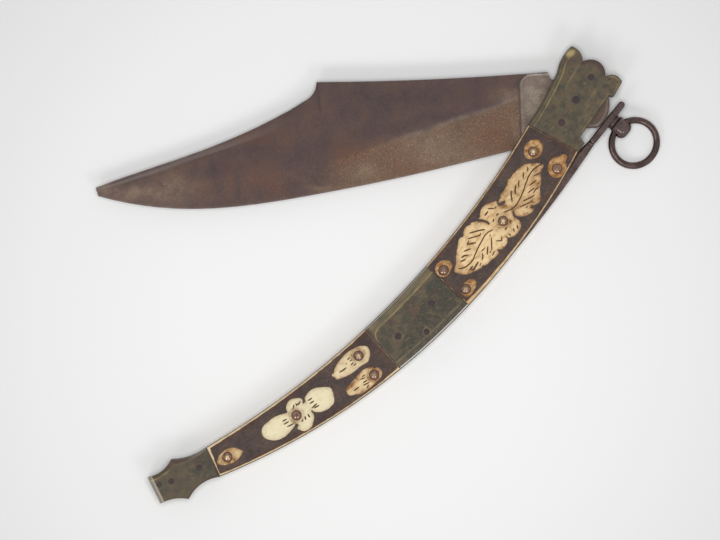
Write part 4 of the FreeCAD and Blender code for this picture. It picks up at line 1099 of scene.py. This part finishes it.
def makeRivets(name, rivets):
    look = rivetLook
    r, h, z = look["radius"], look["rise"], look["seat"]
    ball = (r * r + h * h) / (2 * h)
    dome = [(ball * math.sin(a), z + h - ball * (1 - math.cos(a)))
            for a in np.linspace(math.asin(r / ball), 0, look["domeRows"])]
    shank = [(0, layers["slot"]), (look["shank"], layers["slot"]), (look["shank"], z - look["rim"])]
    profile = shank + [(r, z - look["rim"])] + dome[:-1] + [(0, z + h)]
    bm = turned(startMesh(), [rivet[:2] for rivet in rivets], profile)
    tops = np.array([v.co for v in bm.verts])
    wear = np.zeros(len(tops))
    foot = np.zeros(len(tops))
    for x, y, bare in rivets:
        gap = np.hypot(tops[:, 0] - x, tops[:, 1] - y)
        wear = np.maximum(wear, bare * smooth(*look["bare"], gap) * (tops[:, 2] > look["bareAbove"]))
        # painted shade: a dark ring at the foot of each dome, where it meets its seat
        foot = np.maximum(foot, look["footShadeShare"] * smooth(*look["foot"], gap) * (gap < look["reach"]))
    setMaps(bm, bm.verts, {"wear": wear, "cut": foot})
    finishPair(name + "_studs", bm, name + "_rivets", rivetBrass)


pinLook = {
    "side": 1.45, "pivot": 1.65, "root": 1.1, "rootSunk": 0.12, "tail": 1.25, "crown": 0.05, "lip": 0.02,
    "headPlaces": [(10.5, 2.6), (-10.4, -2.7)], "midPlaces": [(-97.6, -20.4), (-116.2, -20.9)],
    "tailPlaces": [(-210.1, -5.5), (-221.9, -1.9), (-226.4, 0.4)],
}


def pinHead(radius, high):
    crown, lip = pinLook["crown"], pinLook["lip"]
    return [(radius, high - lip), (radius * 0.94, high + lip), (radius * 0.6, high + crown),
            (0, high + crown * 1.2)]


def makePins():
    look = pinLook
    top = layers["bolster"]
    for name in ("head", "mid"):
        profile = [(0, layers["slot"]), (look["side"], layers["slot"])] + pinHead(look["side"], top)
        bm = turned(bmesh.new(), look[name + "Places"], profile)
        finishPair(name + "_peened_pins", bm, name + "_pins", pinIron)
    for name, node, places, radius, high in (
            ("pivot_peened", "pivot_pin", [(0, 0)], look["pivot"], top),
            ("spring_root_peened", "spring_pin", [handle["springPin"]], look["root"], top - look["rootSunk"]),
            ("tail_peened_pins", "tail_pins", look["tailPlaces"], look["tail"], top)):
        upper = pinHead(radius, high)
        lower = [(r, 2 * layers["middle"] - z) for r, z in reversed(upper)]
        bm = turned(bmesh.new(), places, lower + upper)
        finishPiece(name, bm, "handle", [node], pinIron)


makeRivets("upper", upperRivets)
makeRivets("lower", lowerRivets)
makePins()
print("rivets and pins made")


# forged iron: copies of the CAD spring, eyelet and liners with softened edges
ironLook = {
    "flat": 0.5, "bevelFrom": 25, "segments": 3, "springEdge": 0.75, "eyeletEdge": 0.3, "linerEdge": 0.18,
    "innerLine": [(-60, -26.3), (-47.7, -24.7), (-15, -17.9)],
    "swell": [(-62, 0), (-45, 0.5), (-22, 0.8), (-12, 1.2), (-8, 0)],
}


def springSwell(x, y):
    # the leaf's inner side is hammered a little fuller beside the upper scale
    return float(stationed(x, ironLook["swell"])) if y > stationed(x, ironLook["innerLine"]) else 0.0


def softCopy(name, node, body, material, width, swell=None):
    bm = bmesh.new()
    bm.from_mesh(nodes[node].data)
    bmesh.ops.remove_doubles(bm, verts=bm.verts[:], dist=cadWeld)
    if swell:
        for v in bm.verts:
            v.co.y += swell(v.co.x / mm, v.co.y / mm) * mm
    bmesh.ops.dissolve_limit(bm, angle_limit=math.radians(ironLook["flat"]), verts=bm.verts[:],
                             edges=bm.edges[:])
    piece = placePiece(name, bm, body, [node], material)
    bevel = piece.modifiers.new("softened edges", "BEVEL")
    bevel.width = width * mm
    bevel.segments = ironLook["segments"]
    bevel.limit_method = "ANGLE"
    bevel.angle_limit = math.radians(ironLook["bevelFrom"])
    bevel.harden_normals = True
    bevel.use_clamp_overlap = not swell


softCopy("spring_leaf", "back_spring", "spring", springIron, ironLook["springEdge"],
         springSwell)
softCopy("eyelet_barrel", "ring_eyelet", "spring", springIron, ironLook["eyeletEdge"])
for side in ("front", "rear"):
    softCopy("liner_plate_" + side, "liner_" + side, "handle", linerIron, ironLook["linerEdge"])
nodes["back_spacer"].data.materials.clear()
nodes["back_spacer"].data.materials.append(linerIron)


ringLook = {"radius": 9.3, "wire": 1.4, "turns": 96, "around": 20, "centre": (5.783, -28.472, 4.060),
            "droop": 16.489, "thinned": 0.97, "lumpy": 0.05, "lumps": 2}


def makeRing():
    look = ringLook
    bm = bmesh.new()
    wire = bmesh.ops.create_circle(bm, segments=look["around"], radius=look["wire"])["verts"]
    bmesh.ops.rotate(bm, verts=wire, cent=(0, 0, 0), matrix=Matrix.Rotation(math.pi / 2, 3, "X"))
    bmesh.ops.translate(bm, verts=wire, vec=(look["radius"], 0, 0))
    bmesh.ops.spin(bm, geom=bm.verts[:] + bm.edges[:], cent=(0, 0, 0), axis=(0, 0, 1), angle=2 * math.pi,
                   steps=look["turns"], use_merge=True)
    bmesh.ops.remove_doubles(bm, verts=bm.verts[:], dist=weld)
    for v in bm.verts:
        turn = math.atan2(v.co.y, v.co.x)
        outward = Vector((math.cos(turn), math.sin(turn), 0))
        spine = outward * look["radius"]
        lump = noise.noise(outward * look["lumps"] + Vector((0, 0, 4.0)))
        v.co = spine + (v.co - spine) * (look["thinned"] + look["lumpy"] * lump)
    droop = Matrix.Rotation(math.radians(look["droop"]), 3, "X")
    bmesh.ops.rotate(bm, verts=bm.verts[:], cent=(0, 0, 0), matrix=droop)
    bmesh.ops.translate(bm, verts=bm.verts[:], vec=look["centre"])
    finishPiece("ring_forged", bm, "ring", ["pull_ring"], ringIron)


makeRing()
print("spring, eyelet and ring made")


# stage, in metres: pale floor, two soft lamps from the lower side of the picture, a softbox overhead, and the
# camera straight above
stageLook = {
    "floorSize": 4.0, "floorDrop": 0.0002, "paperRoughness": 0.9,
    "paper": [(0.0, "#F5F5F5"), (0.07, "#F3F3F3"), (0.12, "#EEEEEE"), (0.19, "#E2E2E2")],
    "world": 0.3, "seen": 0.88, "lamp": 1.05, "lampSize": 0.27, "lampAside": 0.3, "lampBelow": 0.55,
    "lampHeight": 0.75, "box": 15.9, "boxSize": 0.5, "boxHeight": 1.7,
}
cameraLook = {"over": (-0.1094, 0.00884), "top": 0.0132, "distance": 2.2, "turn": -42.8, "width": 0.2873,
              "sensor": 36.0}


def addObject(name, data, location):
    item = bpy.data.objects.new(name, data)
    item.location = location
    bpy.context.scene.collection.objects.link(item)
    return item


# matt paper: nearly white, with painted shade that makes it a little greyer towards the corners of the
# picture
def makeFloor():
    bm = bmesh.new()
    bmesh.ops.create_grid(bm, x_segments=1, y_segments=1, size=stageLook["floorSize"])
    mesh = bpy.data.meshes.new("floor")
    bm.to_mesh(mesh)
    bm.free()
    floor = addObject("floor", mesh, (0, 0, -stageLook["floorDrop"]))
    material, tree, shader, place = startMaterial("palePaper")
    away = addNode(tree, "VectorMath", {0: place, 1: (*cameraLook["over"], 0)}, "Value", operation="DISTANCE")
    paper = addNode(tree, "ValToRGB", {"Fac": away}, ramp=stageLook["paper"])
    setInputs(tree, shader, {"Base Color": paper, "Roughness": stageLook["paperRoughness"]})
    mesh.materials.append(material)


def makeWorld():
    # nearly white where the camera or a polished piece sees it, dimmer as a light
    world = bpy.data.worlds.new("studio")
    world.use_nodes = True
    tree = world.node_tree
    path = addNode(tree, "LightPath").node.outputs
    seen = path["Is Camera Ray"]
    for ray in ("Is Glossy Ray", "Is Transmission Ray"):
        seen = addNode(tree, "Math", {0: seen, 1: path[ray]}, operation="MAXIMUM")
    level = addNode(tree, "MapRange", {"Value": seen, "To Min": stageLook["world"],
                                       "To Max": stageLook["seen"]})
    setInputs(tree, tree.nodes["Background"], {"Color": (1, 1, 1, 1), "Strength": level})
    bpy.context.scene.world = world


def addLamp(name, energy, size, location):
    lamp = bpy.data.lights.new(name, "AREA")
    lamp.energy = energy
    lamp.size = size
    return addObject(name, lamp, location)


def makeLamps():
    look = stageLook
    turn = math.radians(cameraLook["turn"])
    right = Vector((math.cos(turn), math.sin(turn), 0))
    up = Vector((-math.sin(turn), math.cos(turn), 0))
    target = Vector((*cameraLook["over"], 0))
    for name, aside in (("lampLeft", -look["lampAside"]), ("lampRight", look["lampAside"])):
        place = target + right * aside - up * look["lampBelow"] + Vector((0, 0, look["lampHeight"]))
        holder = addLamp(name, look["lamp"], look["lampSize"], place)
        holder.rotation_euler = (target - place).to_track_quat("-Z", "Y").to_euler()
    box = addLamp("softbox", look["box"], look["boxSize"], target + Vector((0, 0, look["boxHeight"])))
    box.visible_glossy = False


def makeCamera():
    look = cameraLook
    lens = bpy.data.cameras.new("camera")
    lens.sensor_width = look["sensor"]
    lens.lens = look["sensor"] * look["distance"] / look["width"]
    camera = addObject("camera", lens, (*look["over"], look["top"] + look["distance"]))
    camera.rotation_euler = (0, 0, math.radians(look["turn"]))
    bpy.context.scene.camera = camera
    bpy.context.scene.view_settings.view_transform = "Standard"


makeFloor()
makeWorld()
makeLamps()
makeCamera()
print("stage made")
